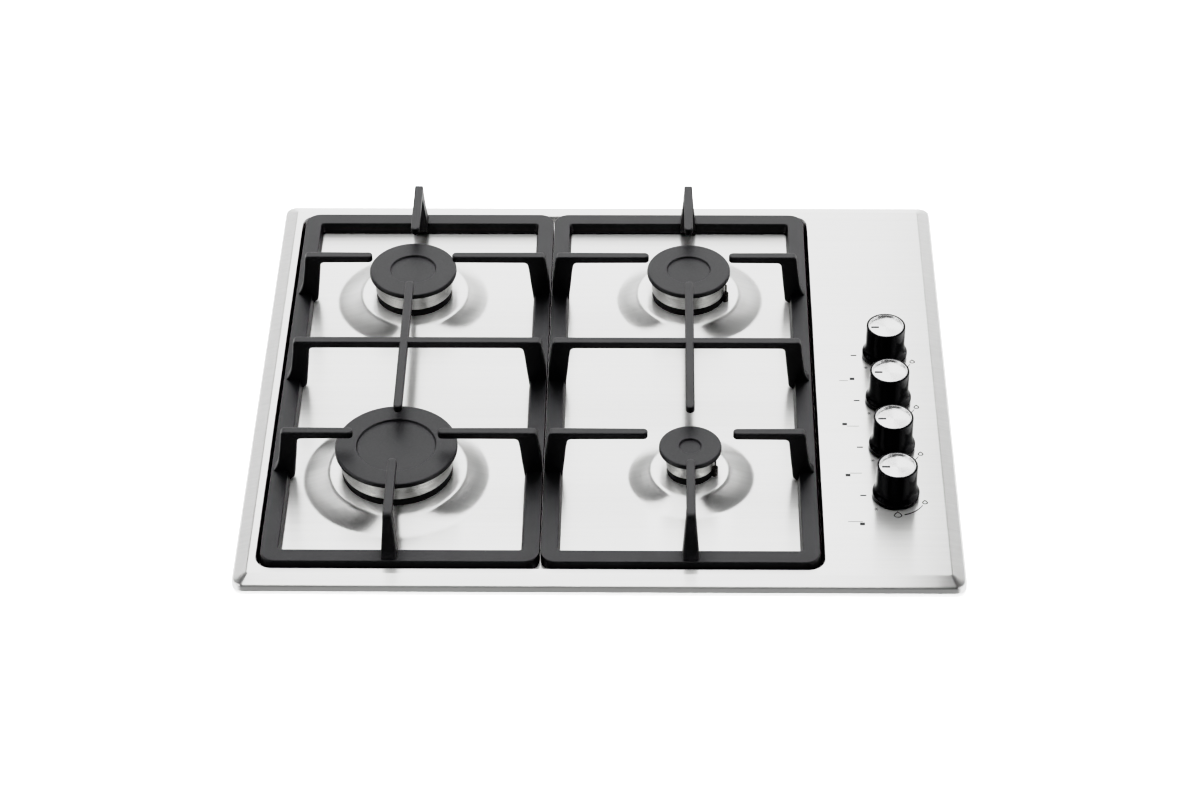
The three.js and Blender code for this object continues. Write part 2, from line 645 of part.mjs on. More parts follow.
function buildLead(burner) {
  const spark = electrodePlace(burner);
  const exitX = WELL_MID_X + LEAD_EXITS[burner.name] * (GENERATOR.width / 5);
  const frontY = GENERATOR_Y - GENERATOR.depth / 2 - CLEARANCE;
  const riseZ = PLATEAU_Z - CERAMIC_BELOW_PLATEAU - CLEARANCE;
  const points = [
    new THREE.Vector3(exitX, frontY, LEAD_Z),
    new THREE.Vector3(exitX, Math.min(frontY - LEAD_BEND * 2, spark.y), LEAD_Z),
    new THREE.Vector3(spark.x, spark.y, LEAD_Z),
    new THREE.Vector3(spark.x, spark.y, riseZ),
  ];
  place(`ignition_lead_${burner.name}`, bentTube(points, LEAD_RADIUS, LEAD_BEND, 5, 14), SILICONE);
}

// ---------------------------------------------------------------- gas taps
const PLUG_BOTTOM_Z = TAP_TOP_Z - PLUG_HEIGHT - CLEARANCE;

function buildTapBody(tap) {
  const half = TAP_WIDTH / 2;
  const mouth = new THREE.Vector3(KNOB_X - half - TAP_OUTLET_REACH, tap.y, MANIFOLD_MID_Z);
  const middle = new THREE.Vector3(KNOB_X, tap.y, MANIFOLD_MID_Z);
  const inlet = new THREE.Vector3(KNOB_X + half + SHEET, tap.y, MANIFOLD_MID_Z);
  const body = join(
    box(KNOB_X - half, KNOB_X + half, tap.y - half, tap.y + half, TAP_BOTTOM_Z, TAP_TOP_Z),
    rod(KNOB_X, tap.y, TAP_BUSH_RADIUS, TAP_TOP_Z - SHEET, TAP_TOP_Z + TAP_BUSH_HEIGHT),
    barBetween(middle, mouth, OUTLET_RADIUS),
  );
  place(`tap_body_${tap.name}`, cut(
    body,
    rod(KNOB_X, tap.y, PLUG_RADIUS + CLEARANCE, PLUG_BOTTOM_Z - CLEARANCE, TAP_TOP_Z, MID_ROUND),
    rod(KNOB_X, tap.y, SPINDLE_RADIUS + CLEARANCE, PLUG_BOTTOM_Z, TAP_TOP_Z + 2 * TAP_BUSH_HEIGHT, MID_ROUND),
    barBetween(middle, mouth.clone().setX(mouth.x - SHEET), TUBE_RADIUS / 2, 8),
    barBetween(middle, inlet, TUBE_RADIUS / 2, 8),
  ), BRASS);
}

const SPINDLE_TOP_Z = KNOB_BOTTOM_Z + SPINDLE_IN_KNOB;
const TANG_BOTTOM_Z = TAP_TOP_Z - TANG_LENGTH;

function buildTapPlug(tap) {
  const slotX = TANG_THICKNESS / 2 + CLEARANCE;
  const slotY = TANG_WIDTH / 2 + CLEARANCE;
  const slotZ = TANG_BOTTOM_Z - KNOB_TRAVEL - CLEARANCE;
  const plugTop = TAP_TOP_Z - CLEARANCE - KNOB_TRAVEL - SHEET;
  const plug = cut(
    rod(KNOB_X, tap.y, PLUG_RADIUS, PLUG_BOTTOM_Z, plugTop),
    box(KNOB_X - slotX, KNOB_X + slotX, tap.y - slotY, tap.y + slotY, slotZ, TAP_TOP_Z),
  );
  place(`tap_plug_${tap.name}`, plug, STEEL);
}

function buildSpindle(tap) {
  const shaftZ = TAP_TOP_Z - CLEARANCE;
  const spindle = cut(
    join(
      rod(KNOB_X, tap.y, SPINDLE_RADIUS, shaftZ, SPINDLE_TOP_Z),
      box(KNOB_X - TANG_THICKNESS / 2, KNOB_X + TANG_THICKNESS / 2,
        tap.y - TANG_WIDTH / 2, tap.y + TANG_WIDTH / 2, TANG_BOTTOM_Z, shaftZ + SHEET),
    ),
    box(KNOB_X + SPINDLE_FLAT, KNOB_X + 2 * SPINDLE_RADIUS, tap.y - SPINDLE_RADIUS, tap.y + SPINDLE_RADIUS,
      KNOB_BOTTOM_Z, SPINDLE_TOP_Z + SHEET),
  );
  place(`tap_spindle_${tap.name}`, spindle, STEEL);
}

// ---------------------------------------------------------------- knobs
const FACE_POCKET_Z = KNOB_TOP_Z - FACE_THICKNESS - CLEARANCE;

function buildKnob(tap) {
  const skirtTop = KNOB_BOTTOM_Z + KNOB_SKIRT_HEIGHT;
  const flare = KNOB_SKIRT_RADIUS - KNOB_RADIUS;
  const body = turned([
    [0, KNOB_BOTTOM_Z],
    [KNOB_SKIRT_RADIUS, KNOB_BOTTOM_Z],
    [KNOB_SKIRT_RADIUS, skirtTop],
    [KNOB_RADIUS + flare * 0.5, skirtTop + flare * 0.6],
    [KNOB_RADIUS + flare * 0.2, skirtTop + flare * 1.7],
    [KNOB_RADIUS, skirtTop + flare * 3.2],
    [KNOB_RADIUS, KNOB_TOP_Z - CLEARANCE],
    [KNOB_RADIUS - CLEARANCE, KNOB_TOP_Z],
    [FACE_RADIUS + CLEARANCE, KNOB_TOP_Z],
    [FACE_RADIUS + CLEARANCE, FACE_POCKET_Z],
    [0, FACE_POCKET_Z],
  ], KNOB_X, tap.y, MID_ROUND);
  const boreTop = SPINDLE_TOP_Z + CLEARANCE;
  const bore = cut(
    rod(KNOB_X, tap.y, SPINDLE_RADIUS + CLEARANCE, KNOB_BOTTOM_Z - SHEET, boreTop),
    box(KNOB_X + SPINDLE_FLAT + CLEARANCE, KNOB_X + 2 * SPINDLE_RADIUS,
      tap.y - 2 * SPINDLE_RADIUS, tap.y + 2 * SPINDLE_RADIUS, KNOB_BOTTOM_Z - 2 * SHEET, boreTop + SHEET),
  );
  place(`knob_${tap.name}`, cut(body, bore), KNOB_BLACK);
}

function buildKnobFace(tap) {
  const topZ = FACE_POCKET_Z + FACE_THICKNESS;
  const bevel = FACE_THICKNESS / 2;
  place(`knob_face_${tap.name}`, turned([
    [0, FACE_POCKET_Z],
    [FACE_RADIUS, FACE_POCKET_Z],
    [FACE_RADIUS, topZ],
    [FACE_RADIUS - bevel, topZ],
    [FACE_RADIUS - 2 * bevel, topZ - bevel],
    [0, topZ - bevel],
  ], KNOB_X, tap.y, MID_ROUND), SPUN);
}

// ---------------------------------------------------------------- gas pipes
const MANIFOLD_BACK_Y = INLET_Y - INLET_SIZE / 2;

function buildManifold() {
  const half = MANIFOLD_SIZE / 2;
  const frontY = KNOB_FRONT_Y - MANIFOLD_OVERRUN;
  const line = (from, to, radius) => barBetween(
    new THREE.Vector3(MANIFOLD_X, from, MANIFOLD_MID_Z),
    new THREE.Vector3(MANIFOLD_X, to, MANIFOLD_MID_Z),
    radius,
  );
  let manifold = box(
    MANIFOLD_X - half, MANIFOLD_X + half, frontY, MANIFOLD_BACK_Y,
    MANIFOLD_TOP_Z - MANIFOLD_SIZE, MANIFOLD_TOP_Z,
  );
  for (const footY of [frontY + half, MANIFOLD_BACK_Y - 4 * half]) {
    manifold = join(manifold, box(
      MANIFOLD_X - half, MANIFOLD_X + half, footY - half / 2, footY + half / 2, BOX_SHEET, MANIFOLD_MID_Z,
    ));
  }
  manifold = cut(manifold, line(frontY + half, MANIFOLD_BACK_Y + SHEET, MANIFOLD_BORE));
  for (const tap of TAPS) {
    manifold = cut(manifold, barBetween(
      new THREE.Vector3(MANIFOLD_X - half - SHEET, tap.y, MANIFOLD_MID_Z),
      new THREE.Vector3(MANIFOLD_X, tap.y, MANIFOLD_MID_Z),
      TUBE_RADIUS / 2,
      8,
    ));
  }
  place('gas_manifold', manifold, ALUMINIUM);
}

function buildInlet() {
  const half = INLET_SIZE / 2;
  const baseZ = MANIFOLD_MID_Z - half;
  const elbow = cut(
    join(
      box(MANIFOLD_X - half, MANIFOLD_X + half, INLET_Y - half, INLET_Y + half, baseZ, MANIFOLD_MID_Z + half),
      rod(MANIFOLD_X, INLET_Y, INLET_THREAD_RADIUS, INLET_SHORT_OF_BASE, MANIFOLD_MID_Z, MID_ROUND),
    ),
    rod(MANIFOLD_X, INLET_Y, INLET_THREAD_RADIUS * 0.6, -SHEET, MANIFOLD_MID_Z),
    barBetween(
      new THREE.Vector3(MANIFOLD_X, INLET_Y - INLET_SIZE, MANIFOLD_MID_Z),
      new THREE.Vector3(MANIFOLD_X, INLET_Y, MANIFOLD_MID_Z),
      MANIFOLD_BORE,
    ),
  );
  place('gas_inlet_elbow', elbow, BRASS);
}

// A short pipe turns once; a long one passes behind the right burner on its way to the left one.
function shortPipe(pipes) {
  return [[KNOB_X - pipes.beforeKnobs, 0]];
}

function longPipe(pipes) {
  return [
    [KNOB_X - pipes.beforeKnobs, pipes.start],
    [BURNER_RIGHT_X, pipes.middle],
    [BURNER_LEFT_X + pipes.beforeBurner, pipes.end],
  ];
}

const PIPE_ROUTES = {
  front_right: shortPipe(FRONT_PIPES),
  front_left: longPipe(FRONT_PIPES),
  rear_left: longPipe(REAR_PIPES),
  rear_right: shortPipe(REAR_PIPES),
};

function buildFeedTube(burner) {
  const tap = TAPS.find(({ name }) => name === burner.name);
  const mouthX = KNOB_X - TAP_WIDTH / 2 - TAP_OUTLET_REACH - CLEARANCE;
  const out = TAP_OUTLET_REACH * 2;
  const points = [
    new THREE.Vector3(mouthX, tap.y, MANIFOLD_MID_Z),
    new THREE.Vector3(mouthX - out, tap.y, MANIFOLD_MID_Z),
    ...PIPE_ROUTES[burner.name].map(([x, dy]) => new THREE.Vector3(x, tap.y + dy, PIPE_Z)),
    pipePoint(burner, OUTLET_END + 2.5 * out),
    pipePoint(burner, OUTLET_END + CLEARANCE),
  ];
  place(`feed_tube_${burner.name}`, bentTube(points, TUBE_RADIUS, TUBE_BEND, 6, 18), ALUMINIUM);
}

// ---------------------------------------------------------------- pan supports
// Legs are stacks of rectangles. Each level is [height above the rim, outer face, inner face], the
// faces measured inwards from the outer edge of the frame.
const OUTER_LEG = [
  [-4.4, 2.2, 15.5], [-1.8, 1.6, 18.6], [4.2, 1, 19.4], [8, 3.9, 19.9], [14.5, 6.1, 20.7],
  [24, 7.5, 21.7], [33, 8.7, 22.7], [37.9, 9.2, 25], [42.2, 9.7, 25.5], [44.2, 11.9, 25.5],
];
const SEAM_LEG = [
  [-4.4, 1.6, 13.9], [-1.8, 1.2, 14.9], [4.2, 0.7, 15.6], [15, 0.6, 16.9],
  [27.6, 2.4, 18.3], [33, 3.2, 19], [37.9, 3.9, 21.4], [42.4, 4.5, 22], [44.2, 6.5, 22],
];
const LEG_FULL_HEIGHT = 38;

function legHalfWidth(height, spread) {
  const share = THREE.MathUtils.clamp(1 - height / LEG_FULL_HEIGHT, 0, 1);
  return FINGER_WIDTH / 2 + LEG_PROUD + (spread / 2) * share;
}

// `at` is the outer end of the leg, `inward` the unit vector that points into the frame.
function leg(at, inward, levels, spread) {
  const side = new THREE.Vector3(-inward.y, inward.x, 0);
  return loft(levels.map(([height, outer, inner], i) => {
    const trim = i === levels.length - 1 ? FINGER_EDGE : 0;
    const half = legHalfWidth(height, spread) - trim;
    const corner = (along, across) => at.clone()
      .addScaledVector(inward, along)
      .addScaledVector(side, across)
      .setZ(RIM_Z + height);
    return [corner(outer, -half), corner(inner, -half), corner(inner, half), corner(outer, half)];
  }));
}

// A level beam with chamfered top edges; a free tip is drawn in over its last stretch.
function beam(from, to, tipAtStart, tipAtEnd) {
  const along = to.clone().sub(from).normalize();
  const side = new THREE.Vector3(along.y, -along.x, 0);
  const half = FINGER_WIDTH / 2;
  const ring = (at, inset) => [
    [-half + FINGER_TAPER + inset, FINGER_BOTTOM_Z + inset],
    [-half + inset, PAN_Z - FINGER_EDGE - inset / 2],
    [-half + FINGER_EDGE + inset, PAN_Z - inset / 2],
    [half - FINGER_EDGE - inset, PAN_Z - inset / 2],
    [half - inset, PAN_Z - FINGER_EDGE - inset / 2],
    [half - FINGER_TAPER - inset, FINGER_BOTTOM_Z + inset],
  ].map(([across, z]) => at.clone().addScaledVector(side, across).setZ(z));
  const rings = [];
  if (tipAtStart) {
    rings.push(ring(from, FINGER_EDGE));
  }
  rings.push(ring(from.clone().addScaledVector(along, tipAtStart ? 2 * FINGER_EDGE : 0), 0));
  rings.push(ring(to.clone().addScaledVector(along, tipAtEnd ? -2 * FINGER_EDGE : 0), 0));
  if (tipAtEnd) {
    rings.push(ring(to, FINGER_EDGE));
  }
  return loft(rings);
}

function buildPanSupport(name, outerX, inwardX, burnerX) {
  const seamX = outerX + inwardX * SUPPORT_WIDTH;
  const midX = (outerX + seamX) / 2;
  const halfX = SUPPORT_WIDTH / 2;
  const halfY = SUPPORT_HALF_Y;
  const innerCorner = SUPPORT_CORNER / 3;
  const ring = (inset, corner, z) => roundRing(midX, 0, halfX - inset, halfY - inset, corner, z);
  let frame = cut(
    loft([
      ring(BAR_EDGE / 2, SUPPORT_CORNER, BAR_BOTTOM_Z),
      ring(0, SUPPORT_CORNER, BAR_TOP_Z - BAR_EDGE),
      ring(BAR_EDGE, SUPPORT_CORNER, BAR_TOP_Z),
    ]),
    loft([
      ring(BAR_WIDTH, innerCorner, BAR_BOTTOM_Z - BAR_EDGE),
      ring(BAR_WIDTH, innerCorner, BAR_TOP_Z - BAR_EDGE),
      ring(BAR_WIDTH - 2 * BAR_EDGE, innerCorner, BAR_TOP_Z + BAR_EDGE),
    ]),
  );
  for (const [sx, sy] of [[-1, -1], [1, -1], [1, 1], [-1, 1]]) {
    const x = midX + sx * (halfX - BAR_WIDTH / 2);
    const y = sy * (halfY - 2 * BAR_WIDTH);
    frame = join(frame, rod(x, y, PAD_RADIUS, FLOOR_Z, BAR_BOTTOM_Z + BAR_EDGE));
  }
  const inward = new THREE.Vector3(inwardX, 0, 0);
  const outward = new THREE.Vector3(-inwardX, 0, 0);
  const at = (x, y) => new THREE.Vector3(x, y, 0);
  const rootOuter = outerX + inwardX * FINGER_ROOT_OUTER;
  const rootSeam = seamX - inwardX * FINGER_ROOT_SEAM;
  for (const y of [FINGER_Y, 0, -FINGER_Y]) {
    frame = join(
      frame,
      leg(at(outerX, y), inward, OUTER_LEG, CROSS_LEG_SPREAD),
      leg(at(seamX, y), outward, SEAM_LEG, CROSS_LEG_SPREAD),
    );
    if (y === 0) {
      frame = join(frame, beam(at(rootOuter, y), at(rootSeam, y), false, false));
    } else {
      frame = join(
        frame,
        beam(at(rootOuter, y), at(burnerX - inwardX * TIP_GAP_SIDE, y), false, true),
        beam(at(rootSeam, y), at(burnerX + inwardX * TIP_GAP_SIDE, y), false, true),
      );
    }
  }
  const endRoot = halfY - FINGER_ROOT_OUTER;
  frame = join(
    frame,
    leg(at(burnerX, halfY), new THREE.Vector3(0, -1, 0), OUTER_LEG, LEG_SPREAD),
    leg(at(burnerX, -halfY), new THREE.Vector3(0, 1, 0), OUTER_LEG, LEG_SPREAD),
    beam(at(burnerX, endRoot), at(burnerX, FINGER_Y + TIP_GAP_REAR_BACK), false, true),
    beam(at(burnerX, -endRoot), at(burnerX, -FINGER_Y - TIP_GAP_FRONT_FRONT), false, true),
    beam(at(burnerX, -FINGER_Y + TIP_GAP_FRONT_BACK), at(burnerX, FINGER_Y - TIP_GAP_REAR_FRONT), true, true),
  );
  place(name, frame, CAST_IRON);
}

// ---------------------------------------------------------------- assembly
buildTopPlate();
buildBurnerBox();
buildLedge();
buildSeal();
buildGland();
buildGenerator();
buildManifold();
buildInlet();
for (const burner of BURNERS) {
  buildCup(burner);
  buildInjector(burner);
  buildSpreader(burner);
  buildCap(burner);
  buildElectrode(burner);
  buildLead(burner);
  buildFeedTube(burner);
}
for (const tap of TAPS) {
  buildTapBody(tap);
  buildTapPlug(tap);
  buildSpindle(tap);
  buildKnob(tap);
  buildKnobFace(tap);
}
buildPanSupport('pan_support_left', WELL_LEFT + SUPPORT_GAP, 1, BURNER_LEFT_X);
buildPanSupport('pan_support_right', WELL_RIGHT - SUPPORT_GAP, -1, BURNER_RIGHT_X);

export default hob;
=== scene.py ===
"""Dresses a four burner gas cooktop for a studio picture.

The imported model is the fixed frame. Smooth sheet metal, castings, burner parts and knobs stand for the solids
that show, and the hardware inside the box keeps its solids. Every piece gets a procedural finish. Shapes are
worked out in millimetres.
"""

import math
from types import SimpleNamespace

import bmesh
import bpy
import numpy as np
from mathutils import Matrix, Vector


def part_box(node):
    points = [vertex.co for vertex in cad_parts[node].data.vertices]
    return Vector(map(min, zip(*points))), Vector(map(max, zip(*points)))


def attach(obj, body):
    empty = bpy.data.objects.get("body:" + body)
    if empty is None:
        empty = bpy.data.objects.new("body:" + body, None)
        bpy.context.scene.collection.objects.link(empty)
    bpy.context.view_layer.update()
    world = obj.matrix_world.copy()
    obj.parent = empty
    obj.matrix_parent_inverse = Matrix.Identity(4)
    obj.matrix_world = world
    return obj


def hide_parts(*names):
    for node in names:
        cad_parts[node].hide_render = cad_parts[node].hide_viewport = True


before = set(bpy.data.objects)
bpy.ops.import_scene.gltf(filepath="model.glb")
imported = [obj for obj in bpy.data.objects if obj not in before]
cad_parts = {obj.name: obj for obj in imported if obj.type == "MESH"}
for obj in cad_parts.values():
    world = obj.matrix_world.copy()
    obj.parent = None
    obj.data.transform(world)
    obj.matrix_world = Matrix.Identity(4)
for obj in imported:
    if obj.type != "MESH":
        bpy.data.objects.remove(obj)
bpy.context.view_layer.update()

bl_info = {
    "name": "Gas cooktop",
    "version": (1, 0, 0),
    "blender": (4, 5, 0),
    "location": "3D View > Sidebar > Cooktop",
    "description": "Dresses the packed gas cooktop with smooth pieces and finishes, and sets its studio",
    "category": "Object",
}

# ---------------------------------------------------------------- places of the object, in millimetres
PLATE_HALF = (290.0, 252.0)
WELL = (-272.4, 178.8, -234.4, 234.4)
FLOOR_Z = 41.4
PLATEAU_Z = 49.0
RIM_Z = 48.0
WORKTOP_Z = 38.0
LIP_Z = 38.5
NECK_TOP_Z = 55.5
CROWN_TOP_Z = 70.2
PAN_Z = 92.4
KNOB_X = 239.1
KNOB_BOTTOM_Z = 50.4
KNOB_TOP_Z = 80.6
SQUARE_HALF = 84.0
KNOB_SQUARE_HALF = 25.0
KNOB_SQUARE_COUNT = 12
SPINDLE_HOLE = 6.0
# How far the plate's hole and the cup's neck stay inside the crown's outline, and how far outside it the axis of an
# electrode stands.
HOLE_INSET = 0.5
NECK_INSET = 0.8
SPARK_OFFSET = 1.9
# Radii of the holes for an electrode and for its collar.
SPARK_HOLE = 2.6
COLLAR_HOLE = 3.7
WELL_INSET = 13.0
RIM_TO_STRIP = 3.4
BEVEL_LEAD = 3.0
CORNER_STEPS = 12
BURNERS = {
    name: SimpleNamespace(x=x, y=y, cap=cap, crown=crown, plateau=plateau, recess=recess, spark=spark, pipe=pipe)
    for name, x, y, cap, crown, plateau, recess, spark, pipe in (
        ("rear_left", -166.4, 120.5, 37.6, 33.4, 46.4, 19.9, 110, -0.9),
        ("front_left", -166.4, -115.5, 49.9, 45.8, 56.7, 32.5, 110, 0.7),
        ("rear_right", 72.8, 120.5, 35.9, 32.1, 44.3, 19.0, -18, -0.8),
        ("front_right", 72.8, -115.5, 25.4, 19.6, 32.5, 9.2, -18, 0.0))
}
KNOBS = {"front_right": -145.6, "front_left": -85.25, "rear_left": -24.9, "rear_right": 35.45}
FINGER_YS = (118.0, 0.0, -118.0)


# ---------------------------------------------------------------- settings
def linear(code):
    """An sRGB hex value as linear red, green, blue and alpha."""
    channels = [int(code[i:i + 2], 16) / 255 for i in (0, 2, 4)]
    return tuple(c / 12.92 if c <= 0.04045 else ((c + 0.055) / 1.055) ** 2.4 for c in channels) + (1.0,)


def size(name, description, value):
    """A length setting, given in millimetres."""
    return bpy.props.FloatProperty(
        name=name, description=description, default=value / 1000, precision=5, unit="LENGTH", subtype="DISTANCE")


def tint(name, description, code):
    """A colour setting, given as an sRGB hex value."""
    return bpy.props.FloatVectorProperty(
        name=name, description=description, default=linear(code), size=4, min=0, max=1, subtype="COLOR")


def amount(name, description, value, unit="NONE"):
    """A brightness, power or focal length setting."""
    return bpy.props.FloatProperty(name=name, description=description, default=value, min=0, unit=unit)


class PlateSettings(bpy.types.PropertyGroup):
    """Sizes and colour of the pressed plate and its printed marks."""

    sheet: size("Sheet", "Thickness of the steel sheet", 1)
    bevel_width: size("Bevel width", "Width of the sloping edge, seen from above", 11.2)
    bevel_drop: size("Bevel drop", "Fall of the sloping edge", 3.7)
    corner: size("Corner", "Radius of the lip at the plate's corners", 9)
    bend: size("Bend", "Outer radius of the bends at the well and the lip", 1.5)
    wall_draft: size("Wall draft", "How far the well's wall leans out", 1.2)
    dome_height: size("Dome height", "Rise of a plateau over the well floor", 7.6)
    dome_run: size("Dome run", "Width of the slope round a plateau", 19.7)
    ink_width: size("Ink width", "Width of a printed line", 0.95)
    steel: tint("Steel", "Colour of the brushed plate", "E6E6E5")
    ink: tint("Ink", "Colour of the printed marks", "111112")


class BurnerSettings(bpy.types.PropertyGroup):
    """Sizes and colours of the burners."""

    cap_thickness: size("Cap thickness", "Thickness of a burner cap", 4.6)
    cap_edge: size("Cap edge", "Radius of a cap's upper edge", 1.3)
    cap_recess: size("Cap recess", "Depth of the dish in a cap", 1.6)
    crown_wall: size("Crown wall", "Wall of the spreader's crown", 3)
    crown_lip: size("Crown lip", "How far the band under the ports stands proud", 0.7)
    port_depth: size("Port depth", "Depth of the flame ports", 2.4)
    port_pitch: size("Port pitch", "Distance between flame ports", 4.2)
    enamel: tint("Enamel", "Colour of the burner caps", "0C0C0D")
    aluminium: tint("Aluminium", "Colour of the turned crowns", "D2D2D0")
    # The cups' colour is painted shade: near black, for the shadow under the crowns' overhang.
    casting: tint("Casting", "Colour of the blackened cups", "060606")
    ceramic: tint("Ceramic", "Colour of the electrodes", "171614")


class SupportSettings(bpy.types.PropertyGroup):
    """Sizes and colour of the pan supports."""

    bar_width: size("Bar width", "Width of the outer bar", 13.7)
    bar_corner: size("Bar corner", "Radius of the outer bar's corners", 12.5)
    bar_edge: size("Bar edge", "Radius of the bar's edges", 0.7)
    bar_draft: size("Bar draft", "How far the bar's foot stands proud of its top", 1.5)
    finger_width: size("Finger width", "Width of a finger", 7.2)
    finger_depth: size("Finger depth", "Depth of a finger", 6.5)
    finger_edge: size("Finger edge", "Radius of a finger's edges", 1.2)
    end_spread: size("End spread", "How much wider the end legs are at their base", 6)
    cross_spread: size("Cross spread", "How much wider the cross legs are at their base", 1.4)
    iron: tint("Iron", "Colour of the enamelled castings", "0C0C0D")


class KnobSettings(bpy.types.PropertyGroup):
    """Sizes and colours of the knobs."""

    radius: size("Radius", "Radius of the knob's body", 16.4)
    skirt_radius: size("Skirt radius", "Radius of the knob's foot", 19)
    skirt_height: size("Skirt height", "Height of the knob's foot", 3.5)
    face_radius: size("Face radius", "Radius of the spun face", 14.8)
    face_bevel: size("Face bevel", "Width of the polished ring round the face", 1.3)
    face_sink: size("Face sink", "How far the face lies under the rim", 1.9)
    pointer: size("Pointer", "Width of the pointer", 2)
    plastic: tint("Plastic", "Colour of the knob's body", "060607")
    face: tint("Face", "Colour of the spun face", "D2D2D2")


class StageSettings(bpy.types.PropertyGroup):
    """The studio: worktop, light and camera."""

    reach: size("Worktop reach", "Half the side of the pale worktop", 4000)
    focal_length: amount("Focal length", "The camera's focal length", 98.9, "CAMERA")
    back_glow: amount("Back glow", "Brightness of the pale room behind and above", 1.9)
    front_glow: amount("Front glow", "Brightness of the room on the camera's side", 0.04)
    low_glow: amount("Low glow", "Brightness under the horizon on the camera's side, which the lip mirrors", 0.17)
    card_height: size("Card height", "Height of the black cards over the worktop", 1500)
    key_power: amount("Key power", "Power of the large soft light above and behind", 420, "POWER")
    side_power: amount("Side power", "Power of each soft light in front, at the sides", 14, "POWER")
    fill_power: amount("Fill power", "Power of the soft light over the camera", 70, "POWER")
    worktop: tint("Worktop", "Colour of the worktop", "FAFAFA")


def measures(group):
    """The lengths of a settings group, by name, in millimetres."""
    lengths = [p.identifier for p in group.bl_rna.properties if p.unit == "LENGTH"]
    return SimpleNamespace(**{name: getattr(group, name) * 1000 for name in lengths})


# ---------------------------------------------------------------- shapes
def soften(corners, radii, steps=5):
    """A line through corners with each corner rounded.

    Each arc is the rational curve ((1-t)^2 A + 2t(1-t) w P + t^2 B) / ((1-t)^2 + 2t(1-t) w + t^2) from A on one
    side to B on the other, P the corner and w the sine of half the angle between the sides. That is a circle of
    the radius given. A point just before and just after each arc keeps the sides flat to the eye.
    """
    p = np.asarray(corners, float)
    radii = np.asarray(radii, float)
    back, ahead = np.roll(p, 1, 0) - p, np.roll(p, -1, 0) - p
    back_length = np.linalg.norm(back, axis=1, keepdims=True)
    ahead_length = np.linalg.norm(ahead, axis=1, keepdims=True)
    back, ahead = back / back_length, ahead / ahead_length
    half = np.arccos(np.clip((back * ahead).sum(1, keepdims=True), -1, 1)) / 2
    trim = np.minimum(radii[:, None] / np.tan(half), 0.46 * np.minimum(back_length, ahead_length))
    guard = np.minimum(0.3 * trim, 0.03 * np.minimum(back_length, ahead_length))
    start, end = p + back * trim, p + ahead * trim
    t = np.linspace(0, 1, steps + 1)[None, :, None]
    weight = np.sin(half)[:, :, None]
    top = (1 - t) ** 2 * start[:, None] + 2 * t * (1 - t) * weight * p[:, None] + t ** 2 * end[:, None]
    arc = top / ((1 - t) ** 2 + 2 * t * (1 - t) * weight + t ** 2)
    whole = np.concatenate([(start + back * guard)[:, None], arc, (end + ahead * guard)[:, None]], axis=1)
    line = whole.reshape(-1, p.shape[1])
    moves = np.linalg.norm(np.diff(line, axis=0), axis=1) > 1e-6
    return line[np.concatenate([[True], moves])]


def flowing(points, steps=4):
    """A smooth line through points: the cubic between two of them has at each the slope of half the step from the point
    before it to the point after it."""
    p = np.asarray(points, float)
    q = np.vstack([2 * p[0] - p[1], p, 2 * p[-1] - p[-2]])
    t = np.linspace(0, 1, steps, endpoint=False)[None, :, None]
    a, b, c, d = q[:-3, None], q[1:-2, None], q[2:-1, None], q[3:, None]
    line = 0.5 * (2 * b + (c - a) * t + (2 * a - 5 * b + 4 * c - d) * t ** 2 + (3 * b - a - 3 * c + d) * t ** 3)
    return np.vstack([line.reshape(-1, p.shape[1]), p[-1:]])


def grid(points, wrap_rows=False, wrap_columns=False):
    """A shell over a grid of points, row by row: its points, its quads and the row and column of each quad's corners as
    shares of the whole. A wrapped direction joins its last line to its first."""
    rows, columns = points.shape[:2]
    row, column = np.meshgrid(np.arange(rows - (not wrap_rows)), np.arange(columns - (not wrap_columns)), indexing="ij")
    corner = np.array([[0, 0], [0, 1], [1, 1], [1, 0]])
    r = row.reshape(-1, 1) + corner[:, 0]
    c = column.reshape(-1, 1) + corner[:, 1]
    return points.reshape(-1, 3), (r % rows) * columns + c % columns, np.stack([r / rows, c / columns], -1)


def turned(profile, x, y, steps=96, closed=False, dip=None):
    """A profile of radius and height turned round the upright axis at x, y: each point goes to x + r cos a,
    y + r sin a, less the dip of its row at that angle. A closed profile is a ring, an open one starts and ends on
    the axis."""
    angle = np.arange(steps) * 2 * np.pi / steps
    r, z = np.asarray(profile, float).T
    height = z[:, None] - (0 if dip is None else dip(z[:, None], angle[None, :]))
    height = np.broadcast_to(height, (len(r), steps))
    points = np.stack([x + r[:, None] * np.cos(angle), y + r[:, None] * np.sin(angle), height], -1)
    return grid(points, wrap_rows=closed, wrap_columns=True)


def upright(x, ys):
    """Points in the plane at one x. With its columns swapped it is a level line."""
    return np.column_stack([np.full(len(ys), x), ys])


